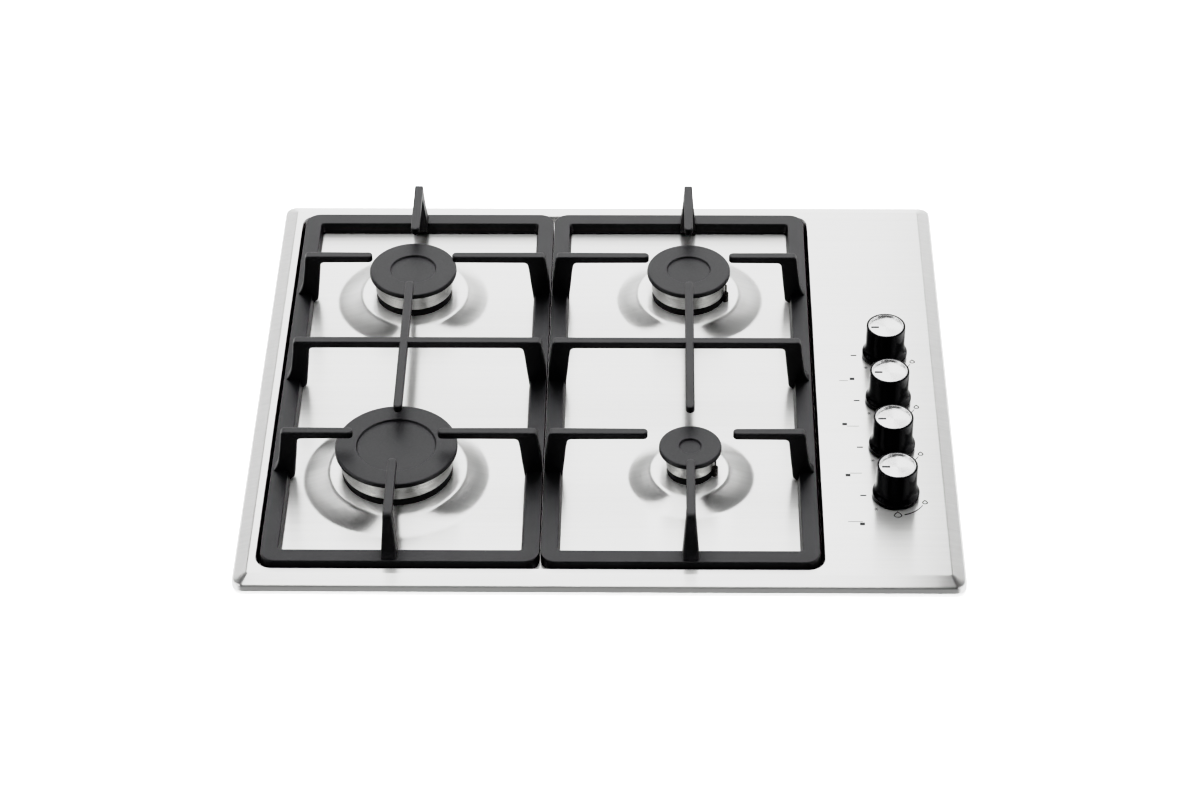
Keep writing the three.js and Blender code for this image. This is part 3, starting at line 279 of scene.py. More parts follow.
def ring(x0, x1, y0, y1, radius, stations, steps, squared=False):
    """One turn round a rectangle with quarter circle corners, anticlockwise from its lower left. The straight sides
    hold the stations (bottom, right, top, left). A squared turn pushes the corner points out to the full square."""
    bottom, right, top, left = stations
    turn = np.linspace(0, np.pi / 2, steps + 1)
    reach = radius / np.maximum(np.cos(turn), np.sin(turn)) if squared else radius
    arc = np.stack([np.cos(turn), np.sin(turn)], 1) * np.reshape(reach, (-1, 1))
    corners = []
    for k, (cx, cy) in enumerate([(x1 - radius, y0 + radius), (x1 - radius, y1 - radius),
                                  (x0 + radius, y1 - radius), (x0 + radius, y0 + radius)]):
        cos, sin = [(0, -1), (1, 0), (0, 1), (-1, 0)][k]
        corners.append(np.stack([cx + arc[:, 0] * cos - arc[:, 1] * sin, cy + arc[:, 0] * sin + arc[:, 1] * cos], 1))
    sides = [upright(y0, bottom)[:, ::-1], upright(x1, right), upright(y1, top[::-1])[:, ::-1], upright(x0, left[::-1])]
    return np.concatenate([part for pair in zip(sides, corners) for part in pair])


def lifted(line, z):
    """A line in the plane set at a height."""
    return np.column_stack([line, np.full(len(line), z)])


def together(*shells):
    """Several shells as one, to be welded where their points meet."""
    points, faces, corners, count = [], [], [], 0
    for p, f, c in shells:
        points.append(p)
        faces.extend((np.asarray(face) + count).tolist() for face in f)
        corners.append(np.reshape(c, (-1, 2)))
        count += len(p)
    return np.concatenate(points), faces, np.concatenate(corners)


def mesh_of(name, *shells):
    """One mesh, in metres, from closed shells in millimetres, each welded and turned outwards by itself."""
    whole = bmesh.new()
    for points, faces, corners in shells:
        one = bpy.data.meshes.new(name)
        one.from_pydata((points / 1000).tolist(), [], [list(face) for face in faces])
        one.uv_layers.new(name="lay").data.foreach_set("uv", np.asarray(corners, float).ravel())
        part = bmesh.new()
        part.from_mesh(one)
        bmesh.ops.remove_doubles(part, verts=part.verts, dist=3e-6)
        bmesh.ops.dissolve_degenerate(part, edges=part.edges, dist=1e-7)
        bmesh.ops.recalc_face_normals(part, faces=part.faces)
        part.to_mesh(one)
        part.free()
        whole.from_mesh(one)
        bpy.data.meshes.remove(one)
    made = bpy.data.meshes.new(name)
    whole.to_mesh(made)
    whole.free()
    return made


def placed(name, data):
    """A new object with its data, in the scene."""
    made = bpy.data.objects.new(name, data)
    bpy.context.scene.collection.objects.link(made)
    return made


def evaluated(mesh, add_modifiers):
    """The mesh with modifiers applied, which add_modifiers puts on a passing object."""
    holder = placed("holder", mesh)
    add_modifiers(holder)
    made = bpy.data.meshes.new_from_object(holder.evaluated_get(bpy.context.evaluated_depsgraph_get()))
    bpy.data.objects.remove(holder)
    return made


def combined(mesh, shells, operation):
    """The closed form of the mesh with each shell joined to it, or cut from it."""
    holders = [placed("tool", mesh_of("tool", shell)) for shell in shells]

    def booleans(base):
        for holder in holders:
            step = base.modifiers.new("step", "BOOLEAN")
            step.operation, step.solver, step.object = operation, "MANIFOLD", holder

    made = evaluated(mesh, booleans)
    for holder in holders:
        bpy.data.objects.remove(holder)
    return made


def piece(name, mesh, body, key, replaces=(), crease=38):
    """A shown piece with its finish, smooth up to the crease angle. It rides on a body and stands for solids."""
    made = placed(name, mesh)
    mesh.materials.clear()
    mesh.materials.append(dressed(key))
    mesh.polygons.foreach_set("use_smooth", np.ones(len(mesh.polygons), bool))
    mesh.set_sharp_from_angle(angle=math.radians(crease))
    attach(made, body)
    if replaces:
        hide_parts(*replaces)


# ---------------------------------------------------------------- finishes
def add(tree, kind, inputs=None, **settings):
    """Adds a node with its settings, and fills its inputs with values or with links from other nodes' outputs."""
    made = tree.nodes.new(kind)
    for name, value in settings.items():
        setattr(made, name, value)
    for name, value in (inputs or {}).items():
        if isinstance(value, bpy.types.NodeSocket):
            tree.links.new(value, made.inputs[name])
        else:
            made.inputs[name].default_value = value
    return made


def ranged(tree, value, low, high, first=0.0, last=1.0, **settings):
    """A value carried from the range low to high over to the range first to last."""
    return add(tree, "ShaderNodeMapRange", {
        "Value": value, "From Min": low, "From Max": high, "To Min": first, "To Max": last}, **settings).outputs[0]


def finish(name, dark, light, roughness, grain, relief, blotch=(60, 60, 60), detail=3, lay=False, **surface):
    """A procedural finish. A noise whose cells measure `grain` millimetres along each axis drives relief, in
    millimetres, and the roughness between its two values; a wider one, `blotch`, drifts the colour from dark to light.
    `lay` runs the stretched highlight along the first direction of the piece's own map. `surface` sets further sockets
    of the shader."""
    made = bpy.data.materials.get(name)
    if made:
        return made
    made = bpy.data.materials.new(name)
    made.use_nodes = True
    tree = made.node_tree
    tree.nodes.clear()
    place = add(tree, "ShaderNodeTexCoord").outputs["Object"]
    noises = []
    for cell, fine in ((grain, detail), (blotch, 2)):
        scale = [1000 / c for c in cell]
        spot = add(tree, "ShaderNodeMapping", {"Vector": place, "Scale": scale}, vector_type="POINT").outputs[0]
        noises.append(add(tree, "ShaderNodeTexNoise", {"Vector": spot, "Scale": 1.0, "Detail": fine}).outputs["Fac"])
    low, high = NOISE_SPREAD
    mixed = add(tree, "ShaderNodeMath", {0: noises[0], 1: noises[1]}, operation="ADD").outputs[0]
    share = ranged(tree, mixed, 2 * low, 2 * high)
    colour = add(tree, "ShaderNodeMix", {0: share, 6: dark, 7: light}, data_type="RGBA").outputs[2]
    rough = ranged(tree, noises[0], low, high, *roughness)
    bump = add(tree, "ShaderNodeBump", {"Height": noises[0], "Strength": 1.0, "Distance": relief / 1000}).outputs[0]
    inputs = {"Base Color": colour, "Roughness": rough, "Normal": bump, **surface}
    if lay:
        inputs["Tangent"] = add(tree, "ShaderNodeTangent", direction_type="UV_MAP", uv_map="lay").outputs[0]
    shader = add(tree, "ShaderNodeBsdfPrincipled", inputs)
    add(tree, "ShaderNodeOutputMaterial", {"Surface": shader.outputs[0]})
    return made


def dressed(key):
    """The finish of a piece that shows, in the colour that the settings give it."""
    name, group, colour, shades, *more, extra = FINISHES[key]
    colour = getattr(getattr(bpy.context.scene, f"cooktop_{group}"), colour)
    dark, light = (tuple(min(1.0, c * factor) for c in colour[:3]) + (1.0,) for factor in shades)
    return finish(name, dark, light, *more, **extra)


# Where most values of a noise lie.
NOISE_SPREAD = (0.35, 0.65)
# Each row: finish name, settings group, colour, its factors for dark and light, roughness, grain, relief, more.
FINISHES = {
    # Stainless sheet brushed along X: hair lines about 0.1 mm wide, drawn 0.8 mm wide so that they show. They blur what
    # the plate mirrors across them, so fingers show in it as soft upright streaks.
    "steel": ("stainless_steel_brushed", "plate", "steel", (0.93, 1), (0.32, 0.34), (110, 0.8, 110), 0.0006,
              {"blotch": (300, 4, 300), "lay": True, "Metallic": 1.0, "Anisotropic": 1.0}),
    # Screen printed ink: a thin, dull, slightly uneven film.
    "ink": ("screen_print_ink", "plate", "ink", (0.8, 1.3), (0.5, 0.65), (0.4, 0.4, 0.4), 0.004, {}),
    # Cast iron under matt enamel: the sand grain of the mould, about 0.9 mm, shows through as a soft texture.
    "iron": ("cast_iron_matt_enamelled", "support", "iron", (0.8, 1.25), (0.42, 0.5), (0.9, 0.9, 0.9), 0.03,
             {"blotch": (25, 25, 25), "detail": 4}),
    # Pressed steel under matt vitreous enamel: even, with a faint orange peel of about 1.5 mm.
    "enamel": ("steel_cap_matt_enamelled", "burner", "enamel", (0.9, 1.12), (0.42, 0.5), (1.5, 1.5, 1.5), 0.012,
               {"blotch": (30, 30, 30)}),
    # Die cast aluminium faced on a lathe: level turning lines about 0.3 mm apart, which smear what it mirrors up and
    # down into bright and dark upright bands.
    "crown": ("aluminium_turned", "burner", "aluminium", (0.8, 1), (0.26, 0.34), (40, 40, 0.3), 0.003,
              {"blotch": (12, 12, 3), "lay": True, "Metallic": 1.0, "Anisotropic": 0.8}),
    # Die cast aluminium coloured near black as painted shade, for the shadow under the crown's overhang: dull, with a
    # slight cast texture.
    "casting": ("aluminium_cast_blackened", "burner", "casting", (0.5, 1.5), (0.6, 0.75), (1.2, 1.2, 1.2), 0.02, {}),
    # Dark glazed steatite: smooth and glossy with small brown clouds.
    "ceramic": ("ceramic_glazed", "burner", "ceramic", (0.8, 1.4), (0.18, 0.3), (1, 1, 1), 0.004, {}),
    # Phenolic plastic moulded in a polished tool: deep gloss, with a very slight waviness of about 6 mm.
    "plastic": ("phenolic_moulded_polished", "knob", "plastic", (0.8, 1.2), (0.07, 0.12), (6, 6, 9), 0.006,
                {"detail": 1, "Specular IOR Level": 0.14}),
    # Aluminium disc faced on a lathe and lacquered: circular lines too fine to show, which draw the light out into
    # bright and dark fans from the centre.
    "face": ("aluminium_spun_lacquered", "knob", "face", (0.92, 1), (0.24, 0.3), (3, 3, 3), 0.0015,
             {"blotch": (9, 9, 9), "lay": True, "Metallic": 1.0, "Anisotropic": 0.85}),
    # Matt laminate: pale and even, with a very fine texture.
    "laminate": ("laminate_matt", "stage", "worktop", (0.99, 1), (0.7, 0.8), (2, 2, 2), 0.001, {}),
}
# The hardware in the box keeps its solids. Each row: starts of the nodes' names, finish name, dark, light, roughness,
# grain, relief, metallic.
HARDWARE = (
    # Hot dip galvanised sheet: cool grey with crystal patches of about 12 mm.
    (("burner_box", "box_ledge"), "steel_galvanised", "8E9396", "B4B9BC", (0.35, 0.55), (12, 12, 12), 0.01, 0.9),
    # Closed cell foam rubber: dead black with 0.6 mm pores.
    (("worktop_seal",), "rubber_foamed", "141414", "242424", (0.85, 0.95), (0.6, 0.6, 0.6), 0.08, 0),
    # Moulded rubber: dull black with a fine, even skin.
    (("mains_cord_gland",), "rubber_moulded", "161616", "222222", (0.6, 0.75), (0.8, 0.8, 0.8), 0.02, 0),
    # Moulded nylon housing: dark grey with a spark eroded grain of about 0.5 mm.
    (("spark_generator",), "nylon_moulded_grained", "232427", "303236", (0.45, 0.6), (0.5, 0.5, 0.5), 0.03, 0),
    # Extruded aluminium: pale, with die lines along its length.
    (("gas_manifold",), "aluminium_extruded", "A9ABAC", "C6C8C9", (0.3, 0.42), (0.5, 60, 0.5), 0.006, 1),
    # Machined brass: warm yellow, satin, with fine tool marks.
    (("gas_inlet_elbow", "injector_", "tap_body_", "tap_plug_"), "brass_machined", "A5803F", "C29A50", (0.25, 0.38),
     (0.5, 9, 0.5), 0.006, 1),
    # Turned bright steel: grey with level tool marks.
    (("tap_spindle_",), "steel_turned", "7F8284", "9EA1A3", (0.28, 0.4), (12, 12, 0.4), 0.005, 1),
    # Drawn aluminium tube: satin, a little cloudy from bending.
    (("feed_tube_",), "aluminium_drawn", "A6A8A9", "BFC1C2", (0.3, 0.45), (7, 7, 7), 0.006, 1),
    # Silicone rubber sheath: brick red, waxy, slightly uneven.
    (("ignition_lead_",), "silicone_extruded", "8F3226", "A83F30", (0.5, 0.62), (1.5, 1.5, 1.5), 0.01, 0),
)


# ---------------------------------------------------------------- plate
def dome(radius, plateau, height, run, ease=2.2):
    """Height over the floor at a distance from a burner: the full height up to the plateau, then a fall that is
    steepest at its start, by 1.4 s - 0.4 s^2 of the height at a share s of the run. Both bends are eased over a
    width w on each side by R(x) = (x + w)^2 / 4w, which is 0 before it and x after it."""
    def eased(x):
        return np.where(x < -ease, 0, np.where(x > ease, x, (np.clip(x, -ease, ease) + ease) ** 2 / (4 * ease)))
    share = (eased(radius - plateau) - eased(radius - plateau - run)) / run
    return height * (1 - 1.4 * share + 0.4 * share ** 2)


def square_points(half, count):
    """Points of a square, `count` to a side, anticlockwise from its lower left corner, and their bearings."""
    side = np.linspace(-half, half, count + 1)[:-1]
    edge = np.full(count, half)
    points = np.concatenate([
        np.stack([side, -edge], 1), np.stack([edge, side], 1), np.stack([-side, edge], 1), np.stack([-edge, -side], 1)])
    return points, np.arctan2(points[:, 1], points[:, 0])


def dome_patch(burner, s):
    """From the hole for the neck out to a square of the floor: rays go to evenly spaced points of the square, and each
    row is a circle, raised by the dome, until the last one, which is the square."""
    square, angle = square_points(SQUARE_HALF, 24)
    hole, last = burner.crown - HOLE_INSET, SQUARE_HALF - 2.5
    foot = burner.plateau + s.dome_run
    bend = np.arange(-4, 4.5, 0.8)
    radii = np.concatenate([
        [hole, hole + 0.5, hole + 2], bend + burner.plateau, burner.plateau + s.dome_run * np.linspace(0.25, 0.75, 6),
        bend + foot, [last]])
    radii = np.unique(radii[(radii >= hole) & (radii <= last)])
    height = np.broadcast_to(FLOOR_Z + dome(radii, burner.plateau, s.dome_height, s.dome_run)[:, None],
                             (len(radii), len(angle)))
    rows = np.stack([radii[:, None] * np.cos(angle), radii[:, None] * np.sin(angle), height], -1)
    rows = np.concatenate([rows, lifted(square, FLOOR_Z)[None]])
    return grid(rows + np.array([burner.x, burner.y, 0]), wrap_columns=True)


def knob_square(y):
    """A flat square of the strip with a round hole for the spindle."""
    square, angle = square_points(KNOB_SQUARE_HALF, KNOB_SQUARE_COUNT)
    circles = [np.stack([r * np.cos(angle), r * np.sin(angle)], 1) for r in (SPINDLE_HOLE, SPINDLE_HOLE + 1, 20)]
    rows = np.stack([lifted(line, RIM_Z) for line in (*circles, square)])
    return grid(rows + np.array([KNOB_X, y, 0]), wrap_columns=True)


def strip_patches(x0, x1, y1, edge_ys):
    """The flat strip that carries the knobs: a square with a hole for each, and flat faces between them. The side at x0
    holds the given points, so that it welds to the rim of the well."""
    knob_ys = sorted(KNOBS.values())
    shells = [knob_square(y) for y in knob_ys]
    left, right = KNOB_X - KNOB_SQUARE_HALF, KNOB_X + KNOB_SQUARE_HALF
    side = np.linspace(-KNOB_SQUARE_HALF, KNOB_SQUARE_HALF, KNOB_SQUARE_COUNT + 1)
    column = np.concatenate([y + side for y in knob_ys])
    flats = [
        np.concatenate([[[x0, -y1], [left, -y1]], upright(left, column), [[left, y1], [x0, y1]],
                        upright(x0, edge_ys[::-1])]),
        np.concatenate([[[right, -y1], [x1, -y1], [x1, y1], [right, y1]], upright(right, column[::-1])]),
    ]
    across = np.column_stack([KNOB_X + side, np.zeros(len(side))])
    lows = [np.array([[left, -y1], [right, -y1]])] + [across + (0, y + KNOB_SQUARE_HALF) for y in knob_ys]
    highs = [across[::-1] + (0, y - KNOB_SQUARE_HALF) for y in knob_ys] + [np.array([[right, y1], [left, y1]])]
    flats += [np.concatenate(pair) for pair in zip(lows, highs)]
    for flat in flats:
        shells.append((lifted(flat, RIM_Z), [list(range(len(flat)))], np.zeros((len(flat), 2))))
    return shells


def floor_lines(low, first, second, high, ends):
    """Stations of the well floor along one direction: 25 over each dome's square, and fewer between and beyond them."""
    stops = [low, first - SQUARE_HALF, first + SQUARE_HALF, second - SQUARE_HALF, second + SQUARE_HALF, high]
    spans = zip(stops, stops[1:], (ends, 25, 11, 25, ends))
    return np.unique(np.round(np.concatenate([np.linspace(*span) for span in spans]), 5))


def plate_skin(s):
    """The upper face of the pressed plate, from patches that share their edge points: the well floor as a flat grid
    with a dome patch at each burner, the well's wall as rings that grow outwards and rise, the strip of the knobs,
    and the bevel and lip as rings that grow outwards and fall."""
    x0, x1, y1 = WELL[0] + WELL_INSET, WELL[1] - WELL_INSET, WELL[3] - WELL_INSET
    xs = floor_lines(x0, BURNERS["rear_left"].x, BURNERS["rear_right"].x, x1, 3)
    ys = floor_lines(-y1, BURNERS["front_left"].y, BURNERS["rear_left"].y, y1, 4)
    x, y = np.meshgrid(xs, ys, indexing="ij")
    points, quads, corners = grid(np.stack([x, y, np.full_like(x, FLOOR_Z)], -1))
    middle = points[quads].mean(1)[:, :2]
    inside = np.zeros(len(quads), bool)
    for burner in BURNERS.values():
        inside |= np.abs(middle - (burner.x, burner.y)).max(1) < SQUARE_HALF
    shells = [(points, quads[~inside], corners[~inside])]
    shells += [dome_patch(burner, s) for burner in BURNERS.values()]

    stations = (xs[1:-1], ys[1:-1], xs[1:-1], ys[1:-1])
    reach = WELL_INSET + RIM_TO_STRIP
    wall = soften([(0, FLOOR_Z), (WELL_INSET - s.wall_draft, FLOOR_Z), (WELL_INSET, RIM_Z), (reach, RIM_Z)],
                  [0, s.bend, s.bend, 0])
    rows = [lifted(ring(x0 - d, x1 + d, -y1 - d, y1 + d, d, stations, CORNER_STEPS), z) for d, z in wall]
    outer = ring(x0 - reach, x1 + reach, -y1 - reach, y1 + reach, reach, stations, CORNER_STEPS, squared=True)
    shells.append(grid(np.stack(rows + [lifted(outer, RIM_Z)]), wrap_columns=True))

    half_x = PLATE_HALF[0] - s.bevel_width - BEVEL_LEAD
    half_y = y1 + reach

    def on_side(axis, value):
        """The outer ring's points on one of its sides, sorted."""
        return np.unique(np.round(outer[np.isclose(outer[:, axis], value)][:, 1 - axis], 5))

    shells += strip_patches(x1 + reach, half_x, half_y, on_side(0, x1 + reach)[1:-1])
    foot = np.concatenate([on_side(1, half_y)[1:], [KNOB_X - KNOB_SQUARE_HALF, KNOB_X + KNOB_SQUARE_HALF]])
    stations = (foot, np.array([]), foot, on_side(0, x0 - reach)[1:-1])
    lip = PLATE_HALF[0] - half_x
    slope = soften([(0, RIM_Z), (BEVEL_LEAD, RIM_Z), (lip, RIM_Z - s.bevel_drop), (lip, LIP_Z)],
                   [0, 4, s.bend + 0.5, 0])
    rows = []
    for d, z in slope:
        radius = np.interp(d, [0, BEVEL_LEAD, lip], [0, s.bend, s.corner])
        rows.append(lifted(ring(-half_x - d, half_x + d, -half_y - d, half_y + d, radius, stations, CORNER_STEPS), z))
    shells.append(grid(np.stack(rows), wrap_columns=True))
    return together(*shells)


def spark_place(burner):
    """Where a burner's electrode stands."""
    reach, turn = burner.crown + SPARK_OFFSET, math.radians(burner.spark)
    return burner.x + reach * math.cos(turn), burner.y + reach * math.sin(turn)


def rod(x, y, radius, low, high, steps=32):
    """An upright cylinder, closed at both ends."""
    return turned([(0, low), (radius, low), (radius, high), (0, high)], x, y, steps)


def face_up(mesh):
    """Turns a welded open sheet so that its level faces look up."""
    sheet = bmesh.new()
    sheet.from_mesh(mesh)
    if sum(face.normal.z * face.calc_area() for face in sheet.faces) < 0:
        bmesh.ops.reverse_faces(sheet, faces=sheet.faces)
    sheet.to_mesh(mesh)
    sheet.free()
    return mesh


def lay_flat(mesh, along, across):
    """Sets the map from two directions in the object's frame, so that a stretched highlight follows the first."""
    if "lay" not in mesh.uv_layers:
        mesh.uv_layers.new(name="lay")
    co = np.empty(len(mesh.vertices) * 3)
    mesh.vertices.foreach_get("co", co)
    index = np.empty(len(mesh.loops), int)
    mesh.loops.foreach_get("vertex_index", index)
    spots = co.reshape(-1, 3)[index] @ np.array([along, across], float).T
    mesh.uv_layers["lay"].data.foreach_set("uv", spots.ravel())


class COOKTOP_OT_plate(bpy.types.Operator):
    """Makes the pressed, brushed steel plate"""

    bl_idname = "cooktop.plate"
    bl_label = "Pressed plate"

    def execute(self, context):
        s = measures(context.scene.cooktop_plate)
        sheet = face_up(mesh_of("plate", plate_skin(s)))

        def thicken(holder):
            solid = holder.modifiers.new("sheet", "SOLIDIFY")
            solid.thickness, solid.offset, solid.use_even_offset = s.sheet / 1000, -1, True

        thick = evaluated(sheet, thicken)
        holes = [rod(*spark_place(b), SPARK_HOLE, FLOOR_Z - 2, RIM_Z) for b in BURNERS.values()]
        plate = combined(thick, holes, "DIFFERENCE")
        lay_flat(plate, (0, 1, 0.3), (1, 0, 0))
        piece("pressed_plate", plate, "hob", "steel", ("top_plate",), crease=30)
        return {"FINISHED"}


# ---------------------------------------------------------------- printed marks
def band(line, widths, low, high, closed=False):
    """A flat ribbon along a line in the plane: at each point the line is offset to both sides by half its width, along
    the normal of the line, and the four edges of the section are carried along it."""
    p = np.asarray(line, float)
    if closed:
        run = np.roll(p, -1, 0) - np.roll(p, 1, 0)
    else:
        run = np.gradient(p, axis=0)
    run = run / np.linalg.norm(run, axis=1, keepdims=True)
    aside = np.column_stack([-run[:, 1], run[:, 0]]) * np.broadcast_to(widths, len(p))[:, None] / 2
    section = [lifted(p - aside, low), lifted(p + aside, low), lifted(p + aside, high), lifted(p - aside, high)]
    rows = np.stack(section, 1)
    if not closed:
        rows = np.concatenate([np.broadcast_to(rows[:1].mean(1, keepdims=True), (1, 4, 3)), rows,
                               np.broadcast_to(rows[-1:].mean(1, keepdims=True), (1, 4, 3))])
    return grid(rows, wrap_rows=closed, wrap_columns=True)


def flame(x, y, width, height):
    """The outline of a flame: a drop whose half width goes as sin t times cos of t over 2 to the power 1.2."""
    t = np.linspace(-np.pi, np.pi, 24, endpoint=False)
    return np.stack([x + width * 0.77 * np.sin(t) * np.cos(t / 2) ** 1.2, y - height / 2 * np.cos(t)], 1)


# Marks at each knob, by x and by y from the knob's middle: the dash, the star, the two flames (with their width, height
# and share of the line's width) and the arc between them (its bearings and its widths at both ends).
DASH_ENDS = (210.4, 215.4)
STAR_PLACE = (222.7, -16.6)
STAR_REACH = 1.9
FLAMES = ((239.7, -23.3, 5.2, 6.4, 1.0), (262.3, -8.0, 3.4, 4.2, 0.85))
ARC_RADIUS = 24.2
ARC_BEARINGS = (-76, -29)
ARC_WIDTHS = (1.3, 0.5)
# The burner symbols: a line from x to x at y, and the middle of the block on it.
SYMBOLS = (((199.2, 206.8), 1.4, (210.3, 3.9)), ((203.4, 213.4), -58.3, (201.6, -55.7)),
           ((203.3, 213.1), -118.0, (201.6, -120.5)), ((199.2, 211.2), -177.6, (210.7, -180.3)))
BLOCK_HALF = 2.0
BLOCK_WIDTH = 3.2


class COOKTOP_OT_marks(bpy.types.Operator):
    """Prints the dial marks and the burner symbols on the plate"""

    bl_idname = "cooktop.marks"
    bl_label = "Printed marks"

    def execute(self, context):
        w = measures(context.scene.cooktop_plate).ink_width
        low, high = RIM_Z - 0.05, RIM_Z + 0.05
        shells = []
        for y in KNOBS.values():
            shells.append(band([(x, y) for x in DASH_ENDS], w * 1.5, low, high))
            for turn in np.radians([0, 60, 120]):
                reach = STAR_REACH * np.array([math.cos(turn), math.sin(turn)])
                middle = np.array(STAR_PLACE) + (0, y)
                shells.append(band([middle - reach, middle + reach], w * 0.4, low, high))
            for x, rise, width, height, share in FLAMES:
                shells.append(band(flame(x, y + rise, width, height), w * share, low, high, closed=True))
            sweep = np.radians(np.linspace(*ARC_BEARINGS, 16))
            arc = np.column_stack([KNOB_X + ARC_RADIUS * np.cos(sweep), y + ARC_RADIUS * np.sin(sweep)])
            shells.append(band(arc, np.linspace(*ARC_WIDTHS, 16), low, high))
        for ends, y, (block_x, block_y) in SYMBOLS:
            shells.append(band([(x, y) for x in ends], w * 0.65, low, high))
            shells.append(band([(block_x - BLOCK_HALF, block_y), (block_x + BLOCK_HALF, block_y)], BLOCK_WIDTH,
                               low, high))
        piece("printed_marks", mesh_of("marks", *shells), "hob", "ink")
        return {"FINISHED"}


# ---------------------------------------------------------------- burners
CUP_BOTTOM_Z = 17.9
CUP_FLOOR_Z = 20.9
CUP_RADIUS = 14.5
CUP_BORE = 11.5
NECK_WALL = 3.0
FLANGE = 4.0
JET_BOSS = 7.0
JET_HOLE = 3.2
# The cup's outlet: its height over the bottom, and radius, start and end of the barrel and of its bore.
OUTLET_RISE = 5.0
BARREL = (4.99, 12.5, 20.5)
BARREL_BORE = (1.5, 0, 21.5)
# The spreader's stem: the radii of its bore and its outside, and its length under the neck's top.
STEM = (6.5, 10.0)
STEM_LENGTH = 15.0
SPIGOT_PLAY = 0.3
SPIGOT_WALL = 2.5
# Radii of an electrode's ceramic, its collar, the groove under its tip and its pin.
CERAMIC_RADIUS = 2.3
COLLAR_RADIUS = 3.4
GROOVE_RADIUS = 1.8
PIN_RADIUS = 0.8


class COOKTOP_OT_cups(bpy.types.Operator):
    """Makes the burner cups, whose necks, coloured black as painted shade under the crowns, stand on the plate"""

    bl_idname = "cooktop.cups"
    bl_label = "Burner cups"

    def execute(self, context):
        under = PLATEAU_Z - 1
        for name, b in BURNERS.items():
            neck = b.crown - NECK_INSET
            profile = soften([
                (0, CUP_BOTTOM_Z), (CUP_RADIUS, CUP_BOTTOM_Z), (CUP_RADIUS, under - 2),
                (neck + FLANGE, under - 2), (neck + FLANGE, under), (neck, under), (neck, NECK_TOP_Z),
                (neck - NECK_WALL, NECK_TOP_Z), (neck - NECK_WALL, under), (CUP_BORE, under), (CUP_BORE, CUP_FLOOR_Z),
                (JET_BOSS, CUP_FLOOR_Z), (JET_BOSS, CUP_FLOOR_Z + JET_BOSS), (0, CUP_FLOOR_Z + JET_BOSS),
            ], [0, 1, 1, 0.5, 0.5, 0.3, 0.5, 0.5, 0.5, 1, 1, 0.5, 0.5, 0], steps=3)
            cup = mesh_of("cup", turned(profile, b.x, b.y))
            barrel, bore = self.outlet(b)
            spot = spark_place(b)
            cup = combined(cup, [barrel], "UNION")
            cuts = [bore, rod(b.x, b.y, JET_HOLE, CUP_FLOOR_Z, CUP_FLOOR_Z + 9, 24),
                    rod(*spot, COLLAR_HOLE, 12, PLATEAU_Z, 24), rod(*spot, SPARK_HOLE, 12, 70, 24)]
            cup = combined(cup, cuts, "DIFFERENCE")
            # The cup's near black finish is painted shade under the crown.
            piece(f"cup_{name}", cup, "hob", "casting", (f"burner_cup_{name}",))
        return {"FINISHED"}

    @staticmethod
    def outlet(b):
        """The outlet barrel and its bore: circles carried along a level axis towards the burner's gas pipe."""
        level, up = np.array([math.cos(b.pipe), math.sin(b.pipe), 0]), np.array([0, 0, 1.0])
        aside = np.cross(up, level)
        centre = np.array([b.x, b.y, CUP_BOTTOM_Z + OUTLET_RISE])
        angle = (np.arange(24) * np.pi / 12)[:, None]

        def bar(radius, start, end):
            rows = [centre + level * s + r * (aside * np.cos(angle) + up * np.sin(angle))
                    for r, s in ((0, start), (radius, start), (radius, end), (0, end))]
            return grid(np.stack(rows), wrap_columns=True)

        return bar(*BARREL), bar(*BARREL_BORE)


class COOKTOP_OT_spreaders(bpy.types.Operator):
    """Makes the flame spreaders with turned crowns and flame ports"""

    bl_idname = "cooktop.spreaders"
    bl_label = "Flame spreaders"

    def execute(self, context):
        s = measures(context.scene.cooktop_burner)
        for name, b in BURNERS.items():
            outer, inner, lip = b.crown, b.crown - s.crown_wall, b.crown + s.crown_lip
            ports = int(round(2 * math.pi * lip / s.port_pitch))

            def dip(z, angle, ports=ports):
                """Ports: where the wave round the crown is low, the top edge sinks by the depth of a port."""
                wave = np.clip((np.cos(angle * ports) + 0.15) * 6, 0, 1)
                return np.clip((z - (CROWN_TOP_Z - 0.5)) / 0.4, 0, 1) * s.port_depth * wave

            profile = soften([
                (STEM[0], NECK_TOP_Z - STEM_LENGTH), (STEM[1], NECK_TOP_Z - STEM_LENGTH), (STEM[1], NECK_TOP_Z),
                (outer, NECK_TOP_Z), (outer, CROWN_TOP_Z - 4.4), (lip, CROWN_TOP_Z - 3.6), (lip, CROWN_TOP_Z),
                (inner, CROWN_TOP_Z), (inner, NECK_TOP_Z + 3), (STEM[0], NECK_TOP_Z + 3),
            ], [0.3, 0.5, 0.5, 0.6, 0.3, 0.3, 0.25, 0.25, 1, 0.5], steps=3)
            spreader = mesh_of("spreader", turned(profile, b.x, b.y, steps=ports * 8, closed=True, dip=dip))
            notch = rod(*spark_place(b), SPARK_HOLE, NECK_TOP_Z - 1, CROWN_TOP_Z + 1, 24)
            spreader = combined(spreader, [notch], "DIFFERENCE")
            piece(f"spreader_{name}", spreader, f"spreader_{name}", "crown",
                  (f"flame_spreader_{name}",), crease=30)
        return {"FINISHED"}


